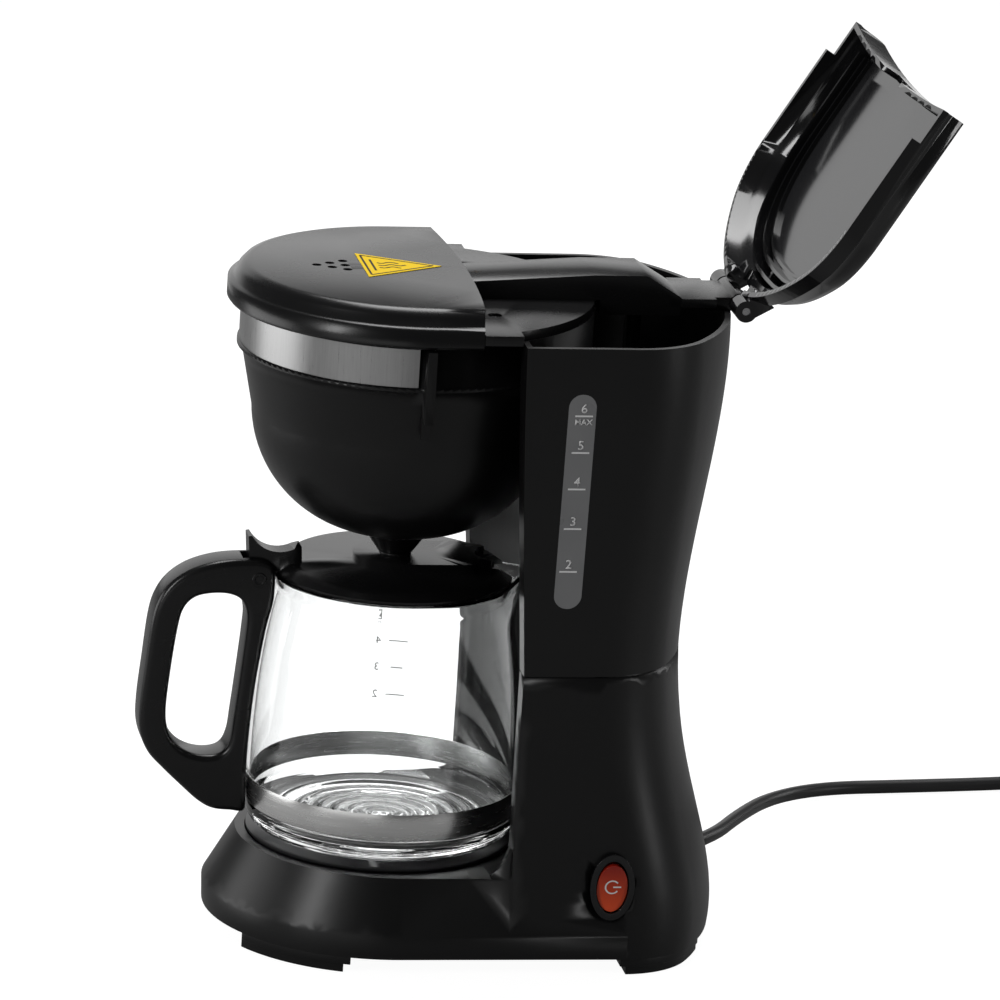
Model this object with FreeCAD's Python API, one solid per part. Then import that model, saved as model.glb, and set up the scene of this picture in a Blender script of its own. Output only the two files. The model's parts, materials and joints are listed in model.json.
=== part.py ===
import FreeCAD, Part
import math
import os

from FreeCAD import Vector

os.makedirs("parts", exist_ok=True)

# A six cup drip coffee maker. Millimetres, +Z up, feet on z = 0.
# -Y is the front, where the jug is pulled out, and +X is the side with the switch.
# The jug, the brew head and the hot plate share one upright axis at x = 0, y = BREW_Y.

# ---- driving sizes ----
BREW_Y = -30.5           # axis of jug, hot plate and filter holder
FOOT_H = 7.0             # feet below the housing
FOOT_SET = 2.0           # feet set in from the housing's edge
FOOT_W = 11.0            # width of a foot, in plan

BASE_HALF = 70.0         # half width of the base at its foot
BASE_FRONT = 100.8       # how far the base reaches in front of y = 0
BASE_BACK = 105.0        # how far the base reaches behind y = 0
TRAY_TOP = 38.0          # top of the tray that holds the hot plate
TRAY_IN = 9.0            # how far the tray's top is drawn in from its foot
SKIRT_H = 16.0           # height where the base's skirt starts to lean in

SEAM_Z = 124.0           # seam between the lower and the upper housing
WAIST_HALF = 66.5        # half width at the seam
WAIST_FRONT = 12.0       # front edge of the column at the seam
WAIST_BACK = 85.5        # back of the column at the seam
TANK_TOP = 260.0         # rim of the water tank
ABOVE = TANK_TOP + 40.0      # higher than everything but the open lid, for cuts
TANK_HALF = 75.0         # half width at the rim
TANK_FRONT = 3.5         # front edge of the column at the rim
TANK_BACK = 97.5         # back of the column at the rim
CORNER_R = 35.0          # plan radius of the rear corners
BACK_R = 100.0           # plan radius of the rear wall
WALL = 2.4               # housing wall
TANK_FLOOR = 132.0       # inside floor of the tank
RECESS_R = 71.0          # round recess in the column's front, about the brew axis

PLATE_R = 54.0           # hot plate
PLATE_TOP = 40.0
PLATE_T = 1.6

HEAD_R = 72.5            # lip of the head cover
HEAD_TOP_R = 64.0        # top face of the head cover
HEAD_TOP = TANK_TOP + 13.0
HEAD_LIP = TANK_TOP - 2.0         # underside of the lip
HEAD_END = -14.0         # straight rear end of the head cover
EAR_TOP = TANK_TOP + 4.0
EAR_T = 4.0
EAR_BACK = 2.5           # rear end of the ears at the sides
EAR_HOLE_R = 2.9
EAR_HOLE_X = 40.0
EAR_HOLE_Y = -3.5
HEAD_BULGE = 5.0         # the head cover's rear end bows back by this much
HEAD_WALL = 2.0
BRIDGE_HALF = 14.5
BRIDGE_TOP = TANK_TOP + 14.0
BRIDGE_FRONT_TOP = TANK_TOP + 10.5
BRIDGE_FLAT = (40.0, 62.0)   # where the bridge's top is level
BRIDGE_TAIL_HALF = 17.0
BRIDGE_TAIL_TOP = TANK_TOP + 5.5
BRIDGE_TAIL = (76.0, 90.0)

HOLDER_R = 66.0          # filter holder below its band
HOLDER_WALL = 2.2
HOLDER_TOP = TANK_TOP - 3.0
HOLDER_BOTTOM = 166.0
HOLDER_FLAT_R = 20.0     # round bottom's nearly flat middle
BAND_H = 16.0            # steel band
BAND_T = 0.8
BAND_PROUD = 1.2         # band outside the bowl
GRIP_T = 3.6
GRIP_H = 29.0
GRIP_OUT = 7.0
SWING_X = -67.5          # filter holder's pivot
SWING_Y = -4.0
SWING_PIN_R = 2.0
SWING_LUG_R = 4.2

JUG_BASE = 40.6          # underside of the jug
JUG_R = 55.0             # widest radius of the jug, above its base
JUG_BASE_R = 48.0
JUG_NECK_R = 46.0
JUG_RIM_R = 48.2
JUG_RIM = 146.5
GLASS_T = 2.0
STRAP_H = 10.5
STRAP_T = 0.7
STRAP_Z = 52.0
HANDLE_W = 17.0          # width of the handle
HANDLE_OUT = 131.8       # how far the handle reaches in front of y = 0
JUG_PIN_Y = -86.0        # jug lid's hinge
JUG_PIN_Z = 145.4
JUG_PIN_R = 1.5
LID_PLATE_Z = 151.4      # top of the jug lid's plate
DISH_R = 12.2
DISH_TOP = 163.5

LID_HALF = 77.6          # tank lid
LID_TOP = TANK_TOP + 17.5
LID_WALL = 2.2
LID_PIN_Y = 100.4
LID_PIN_Z = TANK_TOP + 2.8
LID_PIN_R = 1.6
LID_OPEN = 121.5         # degrees, the lid's open rest
KNUCKLE_R = 4.4
KNUCKLE_HALF = 13.5      # fixed knuckle, half width
LOBE = (15.0, 25.5)      # the lid's lobes, from and to

SWITCH_Y = 52.4
SWITCH_Z = 37.6
SWITCH_W = 18.0
SWITCH_H = 27.5
ROCKER_W = 12.4
ROCKER_H = 20.0
WINDOW_Y = 27.0
WINDOW_W = 11.0
WINDOW_Z = (152.5, 241.5)

CORD_D = 5.8
CLEAR = 0.4              # between pieces that move past each other
RUN_FIT = 0.05           # running clearance of a pin in its bore


# ---- helpers ----
pieces = {}


def save(name, shape):
    pieces[name] = shape


def box(x, y, z):
    return Part.makeBox(x[1] - x[0], y[1] - y[0], z[1] - z[0], Vector(x[0], y[0], z[0]))


def rod(r, start, along, length):
    return Part.makeCylinder(r, length, Vector(*start), Vector(*along))


def tube(r_out, r_in, start, along, length):
    return rod(r_out, start, along, length).cut(rod(r_in, start, along, length))


def upright(r, z0, z1, x=0.0, y=BREW_Y):
    return rod(r, (x, y, z0), (0, 0, 1), z1 - z0)


def turned(profile, y=BREW_Y):
    """A solid of revolution from (radius, z) points; a 3-tuple point is the middle of an arc."""
    pts = [Vector(p[0], y, p[1]) for p in profile]
    edges = []
    i = 0
    while i < len(pts) - 1:
        if len(profile[i + 1]) == 3:
            edges.append(Part.Arc(pts[i], pts[i + 1], pts[i + 2]).toShape())
            i += 2
        else:
            edges.append(Part.makeLine(pts[i], pts[i + 1]))
            i += 1
    edges.append(Part.makeLine(pts[-1], pts[0]))
    face = Part.Face(Part.Wire(edges))
    return face.revolve(Vector(0, y, 0), Vector(0, 0, 1), 360)


def plan(half, front, back, z, corner=CORNER_R, rear=BACK_R):
    """D shaped plan: straight front, straight sides, two corner arcs and a rear arc."""
    centre_y = back - rear
    y_side = centre_y + math.sqrt((rear - corner) ** 2 - (half - corner) ** 2)
    k = math.atan2(y_side - centre_y, half - corner)
    tip = Vector(math.cos(k) * rear, centre_y + math.sin(k) * rear, z)
    mid = Vector(half - corner + corner * math.cos(k / 2), y_side + corner * math.sin(k / 2), z)
    right = Vector(half, y_side, z)

    def other(v):
        return Vector(-v.x, v.y, v.z)

    a = Vector(half, front, z)
    return Part.Wire([
        Part.makeLine(other(a), a),
        Part.makeLine(a, right),
        Part.Arc(right, mid, tip).toShape(),
        Part.Arc(tip, Vector(0, back, z), other(tip)).toShape(),
        Part.Arc(other(tip), other(mid), other(right)).toShape(),
        Part.makeLine(other(right), other(a)),
    ])


def front_plan(half, radius, z, back):
    """U shaped plan: a half circle at the front about the brew axis, straight to the back."""
    cy = BREW_Y
    return Part.Wire([
        Part.Arc(Vector(half, cy, z), Vector(0, cy - radius, z), Vector(-half, cy, z)).toShape(),
        Part.makeLine(Vector(-half, cy, z), Vector(-half, back, z)),
        Part.makeLine(Vector(-half, back, z), Vector(half, back, z)),
        Part.makeLine(Vector(half, back, z), Vector(half, cy, z)),
    ])


def loft(wires, ruled=False):
    return Part.makeLoft(wires, True, ruled)


def side_prism(points, half, x=0.0):
    """Outline in the YZ plane, pushed out to both sides of x; 3-tuples are middles of arcs."""
    pts = [Vector(x - half, p[0], p[1]) for p in points]
    edges = []
    i = 0
    while i < len(pts) - 1:
        if len(points[i + 1]) == 3:
            edges.append(Part.Arc(pts[i], pts[i + 1], pts[i + 2]).toShape())
            i += 2
        else:
            edges.append(Part.makeLine(pts[i], pts[i + 1]))
            i += 1
    if (pts[-1] - pts[0]).Length > 1e-6:
        edges.append(Part.makeLine(pts[-1], pts[0]))
    return Part.Face(Part.Wire(edges)).extrude(Vector(2 * half, 0, 0))


def oval(w, h, depth, x, y, z):
    """Oval prism across X, standing out from x."""
    wire = Part.Wire(Part.Ellipse(Vector(0, 0, 0), h / 2, w / 2).toShape())
    wire.rotate(Vector(0, 0, 0), Vector(0, 1, 0), 90)
    wire.translate(Vector(x, y, z))
    return Part.Face(wire).extrude(Vector(depth, 0, 0))


def path_of(points):
    """Straight runs joined by arcs tangent to both runs; prints nothing, returns wire and radii."""
    p = [Vector(*q) for q in points]
    cuts = []
    radii = []
    for i in range(1, len(p) - 1):
        a = p[i - 1] - p[i]
        b = p[i + 1] - p[i]
        turn = math.pi - a.getAngle(b)
        back = 0.45 * min(a.Length, b.Length)
        radii.append(back / math.tan(turn / 2))
        a.normalize()
        b.normalize()
        start = p[i] + a * back
        end = p[i] + b * back
        centre_dir = (a + b).normalize()
        reach = radii[-1] / math.cos(turn / 2) - radii[-1]
        cuts.append((start, p[i] + centre_dir * reach, end))
    edges = []
    here = p[0]
    for start, mid, end in cuts:
        edges.append(Part.makeLine(here, start))
        edges.append(Part.Arc(start, mid, end).toShape())
        here = end
    edges.append(Part.makeLine(here, p[-1]))
    return Part.Wire(edges), radii


def pipe(points, diameter, bore=0.0):
    wire, radii = path_of(points)
    along = Vector(*points[1]) - Vector(*points[0])
    section = Part.Wire(Part.Circle(Vector(*points[0]), along, diameter / 2).toShape())
    solid = wire.makePipeShell([section], True, True)
    if bore:
        inner = Part.Wire(Part.Circle(Vector(*points[0]), along, bore / 2).toShape())
        solid = solid.cut(wire.makePipeShell([inner], True, True))
    return solid, wire, radii


def mirrored(shape):
    return shape.mirror(Vector(0, 0, 0), Vector(1, 0, 0))


# ---- housing shape ----
def column(inset=0.0, z0=FOOT_H, z1=TANK_TOP):
    """Outer skin of lower and upper housing at a wall inset, as two lofts from z0 to z1."""
    rear = BACK_R - inset
    corner = CORNER_R - inset

    def ring(half, front, back, z):
        return plan(half - inset, front + inset, back - inset, z, corner, rear)

    low = loft([
        ring(BASE_HALF, WAIST_FRONT, BASE_BACK, FOOT_H),
        ring(BASE_HALF - 0.5, WAIST_FRONT, BASE_BACK - 0.5, FOOT_H + 20),
        ring(BASE_HALF - 2.0, WAIST_FRONT, BASE_BACK - 7.5, 55.0),
        ring(WAIST_HALF - 0.3, WAIST_FRONT, WAIST_BACK + 3.0, 92.0),
        ring(WAIST_HALF, WAIST_FRONT, WAIST_BACK, SEAM_Z),
    ])
    high = loft([
        ring(WAIST_HALF, WAIST_FRONT, WAIST_BACK, SEAM_Z),
        ring(WAIST_HALF + 2.8, WAIST_FRONT - 3.2, WAIST_BACK + 3.4, 167.0),
        ring(WAIST_HALF + 6.2, WAIST_FRONT - 6.4, WAIST_BACK + 9.8, 213.0),
        ring(TANK_HALF, TANK_FRONT, TANK_BACK, TANK_TOP),
    ])
    both = [s for s, lo, hi in ((low, FOOT_H, SEAM_Z), (high, SEAM_Z, TANK_TOP)) if z0 < hi and z1 > lo]
    cut = box((-200, 200), (-200, 200), (z0, z1))
    return [s.common(cut) for s in both]


def tray(inset=0.0, top=TRAY_TOP):
    """Front tray of the base: a U plan that leans in above its skirt."""
    back = 60.0
    front_r = BASE_FRONT + BREW_Y
    foot = front_plan(BASE_HALF - inset, front_r - inset, FOOT_H, back)
    skirt = front_plan(BASE_HALF + 0.4 - inset, front_r + 0.4 - inset, SKIRT_H, back)
    lip = front_plan(BASE_HALF - TRAY_IN - inset, front_r - TRAY_IN - 3.0 - inset, top, back)
    return loft([foot, skirt], True).fuse(loft([skirt, lip], True))


def recess(r, z0, z1):
    """What is taken out of the column's front for jug and filter holder."""
    round_part = upright(r, z0, z1)
    mouth = box((-r * 0.86, r * 0.86), (-200, BREW_Y + r * 0.51), (z0, z1))
    return round_part.fuse(mouth)


# ---- lower housing ----
body_low = column(0.0, FOOT_H, SEAM_Z)[0]
hollow_low = column(WALL, FOOT_H, SEAM_Z)[0]
bay = recess(RECESS_R, TRAY_TOP, SEAM_Z + 1)
bay_wall = recess(RECESS_R + WALL, TRAY_TOP - WALL, SEAM_Z + 1)
shell_low = body_low.cut(bay)
hollow_low = hollow_low.cut(bay_wall)
tray_out = tray()
tray_in = tray(WALL, TRAY_TOP - WALL)
cheek = side_prism([(WAIST_FRONT + 1, TRAY_TOP - 2), (WAIST_FRONT - 16, TRAY_TOP - 2),
                    (WAIST_FRONT - 16, TRAY_TOP),
                    (WAIST_FRONT - 4.4, TRAY_TOP + 4.4, 0), (WAIST_FRONT, TRAY_TOP + 16),
                    (WAIST_FRONT + 1, TRAY_TOP + 16)], BASE_HALF + 5)
cheek_plan = loft([front_plan(BASE_HALF - TRAY_IN, BASE_FRONT, TRAY_TOP - 2, 60),
                   front_plan(BASE_HALF - 4.0, BASE_FRONT, TRAY_TOP + 17, 60)], True)
cheek = cheek.common(cheek_plan).cut(recess(RECESS_R, TRAY_TOP, SEAM_Z))
lower = shell_low.fuse(tray_out).fuse(cheek)
lower = lower.cut(hollow_low.fuse(tray_in))
plate_seat = upright(PLATE_R + CLEAR, TRAY_TOP - WALL - 1, TRAY_TOP + 1)
lower = lower.cut(plate_seat)
floor_z = FOOT_H + WALL

POST_R = 4.0
SCREW_R = 1.6
SCREW_L = 13.0
front_post = (42.0, -74.0, SKIRT_H + 10.0)
rear_post = (46.0, 20.0, TRAY_TOP - WALL + 0.5)
post_at = [(s * x, y, top) for x, y, top in (front_post, rear_post) for s in (-1, 1)]
for px, py, top in post_at:
    lower = lower.fuse(upright(POST_R, floor_z, top, px, py))
    lower = lower.cut(upright(SCREW_R, floor_z - 1, floor_z + SCREW_L, px, py))
BEZEL_STEP = 1.6         # flange of the switch's bezel, outside its neck
BEZEL_SEAT = BASE_HALF - 1.5
lower = lower.cut(oval(SWITCH_W - 2 * BEZEL_STEP + 0.2, SWITCH_H - 2 * BEZEL_STEP + 0.2, 30,
                       BASE_HALF - 15, SWITCH_Y, SWITCH_Z))
lower = lower.cut(oval(SWITCH_W + 0.2, SWITCH_H + 0.2, 10, BEZEL_SEAT, SWITCH_Y, SWITCH_Z))
CORD_X = -38.0
CORD_Z = 15.5
exit_dir = Vector(-0.62, 0.785, 0.0).normalize()
exit_wall = Vector(CORD_X, 97.5, CORD_Z)
GLAND_R = 5.0
lower = lower.cut(rod(GLAND_R, tuple(exit_wall - exit_dir * 14), tuple(exit_dir), 30))

# ---- base plate, feet and screws ----
plate_in = WALL + 0.3
base_plate = column(plate_in, FOOT_H, floor_z)[0].fuse(
    tray(plate_in).common(box((-200, 200), (-200, 60), (FOOT_H, floor_z))))
slots = [box((x - 2, x + 2), (-12, 12), (FOOT_H - 1, floor_z + 1)) for x in range(-32, 33, 8)]
for cut in slots:
    base_plate = base_plate.cut(cut)
for px, py, top in post_at:
    base_plate = base_plate.cut(upright(SCREW_R, FOOT_H - 1, floor_z + 1, px, py))
    base_plate = base_plate.cut(Part.makeCone(3.4, SCREW_R, 1.8, Vector(px, py, FOOT_H)))
save("base_plate", base_plate)

screws = []
for px, py, top in post_at:
    head = Part.makeCone(3.3, SCREW_R - 0.1, 1.8, Vector(px, py, FOOT_H))
    slot = box((px - 2.2, px + 2.2), (py - 0.4, py + 0.4), (FOOT_H - 1, FOOT_H + 0.8))
    screws.append(head.fuse(upright(SCREW_R - 0.1, FOOT_H + 1.0, FOOT_H + SCREW_L, px, py)).cut(slot))
save("base_screws", Part.makeCompound(screws))
SEAM_GROOVE = 0.7        # shadow line at the seam
lower = lower.cut(column(0.0, SEAM_Z - SEAM_GROOVE, SEAM_Z)[0].cut(column(SEAM_GROOVE, SEAM_Z - 1, SEAM_Z + 1)[0]))
save("lower_housing", lower)


def ring_plan(inset, z0, z1):
    front = front_plan(BASE_HALF - inset, BASE_FRONT + BREW_Y - inset, z0, 40)
    rear = plan(BASE_HALF - inset, 30, BASE_BACK - inset, z0, CORNER_R - inset, BACK_R - inset)
    up = Vector(0, 0, z1 - z0)
    return Part.Face(front).extrude(up).fuse(Part.Face(rear).extrude(up))


foot_ring = ring_plan(FOOT_SET, 0.0, FOOT_H).cut(ring_plan(FOOT_SET + FOOT_W, -1.0, FOOT_H + 1))
step_ring = ring_plan(FOOT_SET - 1.0, 3.6, FOOT_H).cut(ring_plan(FOOT_SET + FOOT_W, 3.0, FOOT_H + 1))
corners = {
    "foot_front_right": box((34, 80), (-110, -53), (0, FOOT_H)),
    "foot_rear_right": box((38, 80), (60.5, 110), (0, FOOT_H)),
}
for name, zone in corners.items():
    foot = foot_ring.common(zone).fuse(step_ring.common(zone.translated(Vector(
        2.5, 2.5 if "front" in name else -2.5, 0))).common(box((0, 200), (-200, 200), (3.6, FOOT_H))))
    save(name, foot)
    save(name.replace("right", "left"), mirrored(foot))

# ---- hot plate, heater and water path ----
save("hot_plate", turned([(0, PLATE_TOP - PLATE_T), (PLATE_R - 4, PLATE_TOP - PLATE_T),
                          (PLATE_R - 4, TRAY_TOP - WALL), (PLATE_R - 2.4, TRAY_TOP - WALL),
                          (PLATE_R - 2.4, PLATE_TOP - PLATE_T), (PLATE_R, PLATE_TOP - PLATE_T),
                          (PLATE_R, PLATE_TOP - 0.6), (PLATE_R - 0.6, PLATE_TOP), (0, PLATE_TOP)]))

PORT_X = 9.0
HEATER_R = 36.0
HEATER_D = 9.0
heater_z = PLATE_TOP - PLATE_T - HEATER_D / 2
turn = Part.makeTorus(HEATER_R, HEATER_D / 2, Vector(0, BREW_Y, heater_z), Vector(0, 0, 1))
gap = box((-PORT_X, PORT_X), (BREW_Y, BREW_Y + 60), (0, 60))
heater = turn.cut(gap)
dip = Vector(0, 0.8, -0.6)
DIP_L = 14.0
tip_y = BREW_Y + math.sqrt(HEATER_R ** 2 - PORT_X ** 2)
for s in (-1, 1):
    heater = heater.fuse(rod(HEATER_D / 2, (s * PORT_X, tip_y - 1.5, heater_z - 1.0), tuple(dip), DIP_L))
save("heating_element", heater)
hose_start = Vector(0, tip_y - 1.5, heater_z - 1.0) + dip * DIP_L
hose_dip = hose_start + dip * 12.0

HOSE_D = 11.0
HOSE_BORE = 8.4
VALVE_L = 16.0
PORT_Y = 62.0
port_top = TANK_FLOOR - WALL
VALVE_Z = 70.0
HOSE_GRIP = 6.0          # how far a hose reaches over its spigot


def hose(x, top):
    route = [(x, hose_start.y, hose_start.z), (x, hose_dip.y, hose_dip.z), (x, PORT_Y, hose_dip.z + 5.7),
             (x, PORT_Y, top)]
    return pipe(route, HOSE_D, HOSE_BORE)[0]


save("inlet_hose", hose(PORT_X, VALVE_Z))
valve = tube(HOSE_D / 2, 3.0, (PORT_X, PORT_Y, VALVE_Z), (0, 0, 1), VALVE_L)
valve = valve.fuse(tube(HOSE_D / 2 + 1.2, 3.0, (PORT_X, PORT_Y, VALVE_Z + 5.0), (0, 0, 1), 3.0))
save("check_valve", valve)
spigot_z = port_top - 16.0
save("tank_hose", tube(HOSE_D / 2, HOSE_BORE / 2, (PORT_X, PORT_Y, VALVE_Z + VALVE_L), (0, 0, 1),
                       spigot_z + HOSE_GRIP - VALVE_Z - VALVE_L))
save("outlet_hose", hose(-PORT_X, spigot_z + HOSE_GRIP))

thermostat = rod(8.0, (0, BREW_Y, heater_z), (0, 0, 1), PLATE_TOP - PLATE_T - heater_z)
thermostat = thermostat.fuse(box((-11, 11), (BREW_Y - 3, BREW_Y + 3), (heater_z - 2, heater_z)))
save("thermostat", thermostat)
fuse_y = BREW_Y - HEATER_R
fuses = rod(2.0, (-12, fuse_y, heater_z - HEATER_D / 2 - 2.0), (1, 0, 0), 24)
save("thermal_fuse", fuses)
save("fuse_clip", box((-5, 5), (fuse_y - 6, fuse_y + 6), (floor_z, floor_z + 2)).fuse(
    box((-2, 2), (fuse_y - 2.5, fuse_y + 2.5), (floor_z, heater_z - HEATER_D / 2 - 4.0))))

# ---- upper housing with the tank ----
high = column(0.0, SEAM_Z, TANK_TOP)[0]
hollow = column(WALL, TANK_FLOOR, TANK_TOP + 0.001)[0]
under = column(WALL, SEAM_Z, TANK_FLOOR - WALL)[0]
front_bay = recess(RECESS_R, SEAM_Z - 1, TANK_TOP + 1)
front_wall = recess(RECESS_R + WALL, SEAM_Z - 1, TANK_TOP + 1)
upper = high.cut(front_bay)
upper = upper.cut(hollow.cut(front_wall)).cut(under.cut(front_wall))
for s in (-1, 1):
    x = s * PORT_X
    upper = upper.fuse(upright(HOSE_BORE / 2 - 0.1, spigot_z, port_top + 0.1, x, PORT_Y))
    upper = upper.cut(upright(2.6, spigot_z - 1.0, TANK_FLOOR + 1.0, x, PORT_Y))
window_cut = box((TANK_HALF - 14, TANK_HALF + 4), (WINDOW_Y - WINDOW_W / 2, WINDOW_Y + WINDOW_W / 2),
                 (WINDOW_Z[0] + WINDOW_W / 2, WINDOW_Z[1] - WINDOW_W / 2))
for z in (WINDOW_Z[0] + WINDOW_W / 2, WINDOW_Z[1] - WINDOW_W / 2):
    window_cut = window_cut.fuse(rod(WINDOW_W / 2, (TANK_HALF - 14, WINDOW_Y, z), (1, 0, 0), 18))
save("water_window", upper.common(window_cut))
upper = upper.cut(window_cut)
save("tank_strainer", tube(6.0, 5.0, (PORT_X, PORT_Y, TANK_FLOOR), (0, 0, 1), 9.0).fuse(
    tube(6.0, 2.6, (PORT_X, PORT_Y, TANK_FLOOR), (0, 0, 1), 1.0)).fuse(
    rod(6.0, (PORT_X, PORT_Y, TANK_FLOOR + 9.0), (0, 0, 1), 1.0)))

# pivot bracket of the filter holder, on the column's far front corner
BRACKET_Z = (TANK_TOP - 28.5, TANK_TOP - 22.0)
bracket = upright(SWING_LUG_R + 0.3, BRACKET_Z[0], BRACKET_Z[1], SWING_X, SWING_Y)
bracket = bracket.fuse(box((SWING_X - SWING_LUG_R, SWING_X + SWING_LUG_R), (SWING_Y, TANK_FRONT + 4), BRACKET_Z))
upper = upper.fuse(bracket).cut(upright(SWING_PIN_R, BRACKET_Z[0] + 1.5, ABOVE, SWING_X, SWING_Y))
save("upper_housing", upper)

# ---- head frame, bridge, riser and spray head ----
EAR_Z = (EAR_TOP - EAR_T, EAR_TOP)
HEAD_FIT = 0.3           # head frame inside the head cover
frame_r = HEAD_R - HEAD_WALL - HEAD_FIT
front_part = Part.Face(front_plan(frame_r, frame_r, EAR_Z[0], HEAD_END + HEAD_BULGE + 2)).extrude(
    Vector(0, 0, EAR_T))
ears = box((-HEAD_R, HEAD_R), (HEAD_END + HEAD_BULGE + 1, EAR_BACK), EAR_Z)
ear_ends = box((-HEAD_R, HEAD_R), (HEAD_END + 0.3, HEAD_END + HEAD_BULGE + 1), EAR_Z)
deck = upright(RECESS_R + WALL - 0.3, EAR_Z[0], EAR_Z[1]).common(box((-90, 90), (HEAD_END - 1, 90), (0, ABOVE)))
DROP_R = 5.0             # where water drops from the bridge onto the spray head
CHANNEL_Z = (EAR_TOP + 1.5, EAR_TOP + 4.5)


def head_end(extra):
    """Everything behind the head cover's bowed rear end, moved back by extra."""
    y = HEAD_END + extra
    return Part.Face(Part.Wire([
        Part.Arc(Vector(-HEAD_R - 8, y, 0), Vector(0, y + HEAD_BULGE, 0), Vector(HEAD_R + 8, y, 0)).toShape(),
        Part.makeLine(Vector(HEAD_R + 8, y, 0), Vector(HEAD_R + 8, 200, 0)),
        Part.makeLine(Vector(HEAD_R + 8, 200, 0), Vector(-HEAD_R - 8, 200, 0)),
        Part.makeLine(Vector(-HEAD_R - 8, 200, 0), Vector(-HEAD_R - 8, y, 0)),
    ])).extrude(Vector(0, 0, 400))


ears = ears.fuse(ear_ends.common(head_end(0.3)))
head_frame = front_part.fuse(ears).fuse(deck.common(head_end(0.3)))
for s in (-1, 1):
    head_frame = head_frame.cut(upright(EAR_HOLE_R, EAR_Z[0] + 1.4, ABOVE, s * EAR_HOLE_X, EAR_HOLE_Y))
    head_frame = head_frame.cut(upright(1.3, 0, ABOVE, s * EAR_HOLE_X, EAR_HOLE_Y))
head_frame = head_frame.cut(upright(DROP_R, 0, ABOVE))
head_frame = head_frame.cut(upright(SWING_PIN_R, 0, EAR_TOP - 1.0, SWING_X, SWING_Y))
save("head_frame", head_frame)
save("head_screws", Part.makeCompound([
    upright(EAR_HOLE_R - 0.2, EAR_Z[0] + 1.4, EAR_Z[0] + 2.8, s * EAR_HOLE_X, EAR_HOLE_Y).fuse(
        upright(1.2, EAR_Z[0] - 2.0, EAR_Z[0] + 1.5, s * EAR_HOLE_X, EAR_HOLE_Y)) for s in (-1, 1)]))
save("holder_pin", upright(SWING_PIN_R, BRACKET_Z[0] + 1.5, EAR_TOP - 1.0, SWING_X, SWING_Y))

SPRAY_R = 56.0
SPRAY_T = 2.4
spray = upright(SPRAY_R, EAR_Z[0] - SPRAY_T, EAR_Z[0])
spray = spray.cut(upright(SPRAY_R - 2.0, EAR_Z[0] - SPRAY_T + 1.2, EAR_Z[0] + 1).cut(
    upright(8.5, 0, ABOVE, EAR_HOLE_X, EAR_HOLE_Y)).cut(upright(8.5, 0, ABOVE, -EAR_HOLE_X, EAR_HOLE_Y)))
for k in range(8):
    a = math.radians(45 * k + 22.5)
    for r in (12.0, 24.0):
        spray = spray.cut(upright(1.6, 0, ABOVE, r * math.cos(a), BREW_Y + r * math.sin(a)))
for s in (-1, 1):
    spray = spray.cut(upright(1.25, 0, ABOVE, s * EAR_HOLE_X, EAR_HOLE_Y))
save("spray_head", spray)

bridge_line = [(BREW_Y - 9, EAR_TOP), (BREW_Y - 9, BRIDGE_FRONT_TOP - 2.5), (HEAD_END, BRIDGE_FRONT_TOP),
               (BRIDGE_FLAT[0], BRIDGE_TOP), (BRIDGE_FLAT[1], BRIDGE_TOP),
               (BRIDGE_TAIL[0], BRIDGE_TAIL_TOP), (BRIDGE_TAIL[0], TANK_TOP - 2),
               (BREW_Y + RECESS_R + WALL + 0.5, TANK_TOP - 2), (BREW_Y + RECESS_R + WALL + 0.5, EAR_TOP)]
bridge = side_prism(bridge_line, BRIDGE_HALF)
tail = box((-BRIDGE_TAIL_HALF, BRIDGE_TAIL_HALF), BRIDGE_TAIL, (TANK_TOP + 2.0, BRIDGE_TAIL_TOP))
arm = box((-KNUCKLE_HALF, KNUCKLE_HALF), (BRIDGE_TAIL[1] - 3, LID_PIN_Y), (TANK_TOP + 0.1, BRIDGE_TAIL_TOP))
knuckle = rod(KNUCKLE_R, (-KNUCKLE_HALF, LID_PIN_Y, LID_PIN_Z), (1, 0, 0), 2 * KNUCKLE_HALF)
knuckle = knuckle.cut(high).cut(box((-6, 6), (LID_PIN_Y - 1, LID_PIN_Y + 9), (0, 400)))
bridge = bridge.fuse(tail).fuse(arm).fuse(knuckle)
RISER_R = 3.4
bridge = bridge.cut(box((-12.0, 12.0), (BREW_Y - 6, PORT_Y + 5), CHANNEL_Z))
bridge = bridge.cut(upright(DROP_R, EAR_TOP - 1, CHANNEL_Z[1]))
bridge = bridge.cut(upright(RISER_R, 200, CHANNEL_Z[1], -PORT_X, PORT_Y))
bridge = bridge.cut(rod(LID_PIN_R + RUN_FIT, (-40, LID_PIN_Y, LID_PIN_Z), (1, 0, 0), 80))
save("bridge_cover", bridge)
save("riser_pipe", tube(RISER_R, 2.4, (-PORT_X, PORT_Y, TANK_FLOOR), (0, 0, 1),
                        TANK_TOP + 1.0 - TANK_FLOOR))

# ---- head cover ----
steps = [(-0.8, HEAD_LIP), (0.0, HEAD_LIP + 1.0), (0.0, HEAD_LIP + 7.5), (-1.6, HEAD_LIP + 8.2),
         (-2.6, HEAD_LIP + 8.8), (-4.0, HEAD_LIP + 12.0), (-6.0, HEAD_TOP - 0.8),
         (HEAD_TOP_R - HEAD_R, HEAD_TOP)]
wires = [front_plan(HEAD_R + d, HEAD_R + d, z, 30) for d, z in steps]
cover = loft(wires, True)
inner_r = HEAD_R - HEAD_WALL
inner = Part.Face(front_plan(inner_r, inner_r, HEAD_LIP - 1, 40)).extrude(Vector(0, 0, 8.0))
upper_r = HEAD_TOP_R - 1.0
inner = inner.fuse(Part.Face(front_plan(upper_r, upper_r, HEAD_LIP, 40)).extrude(
    Vector(0, 0, HEAD_TOP - HEAD_WALL - HEAD_LIP)))
cover = cover.cut(inner).cut(head_end(0.0))
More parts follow.
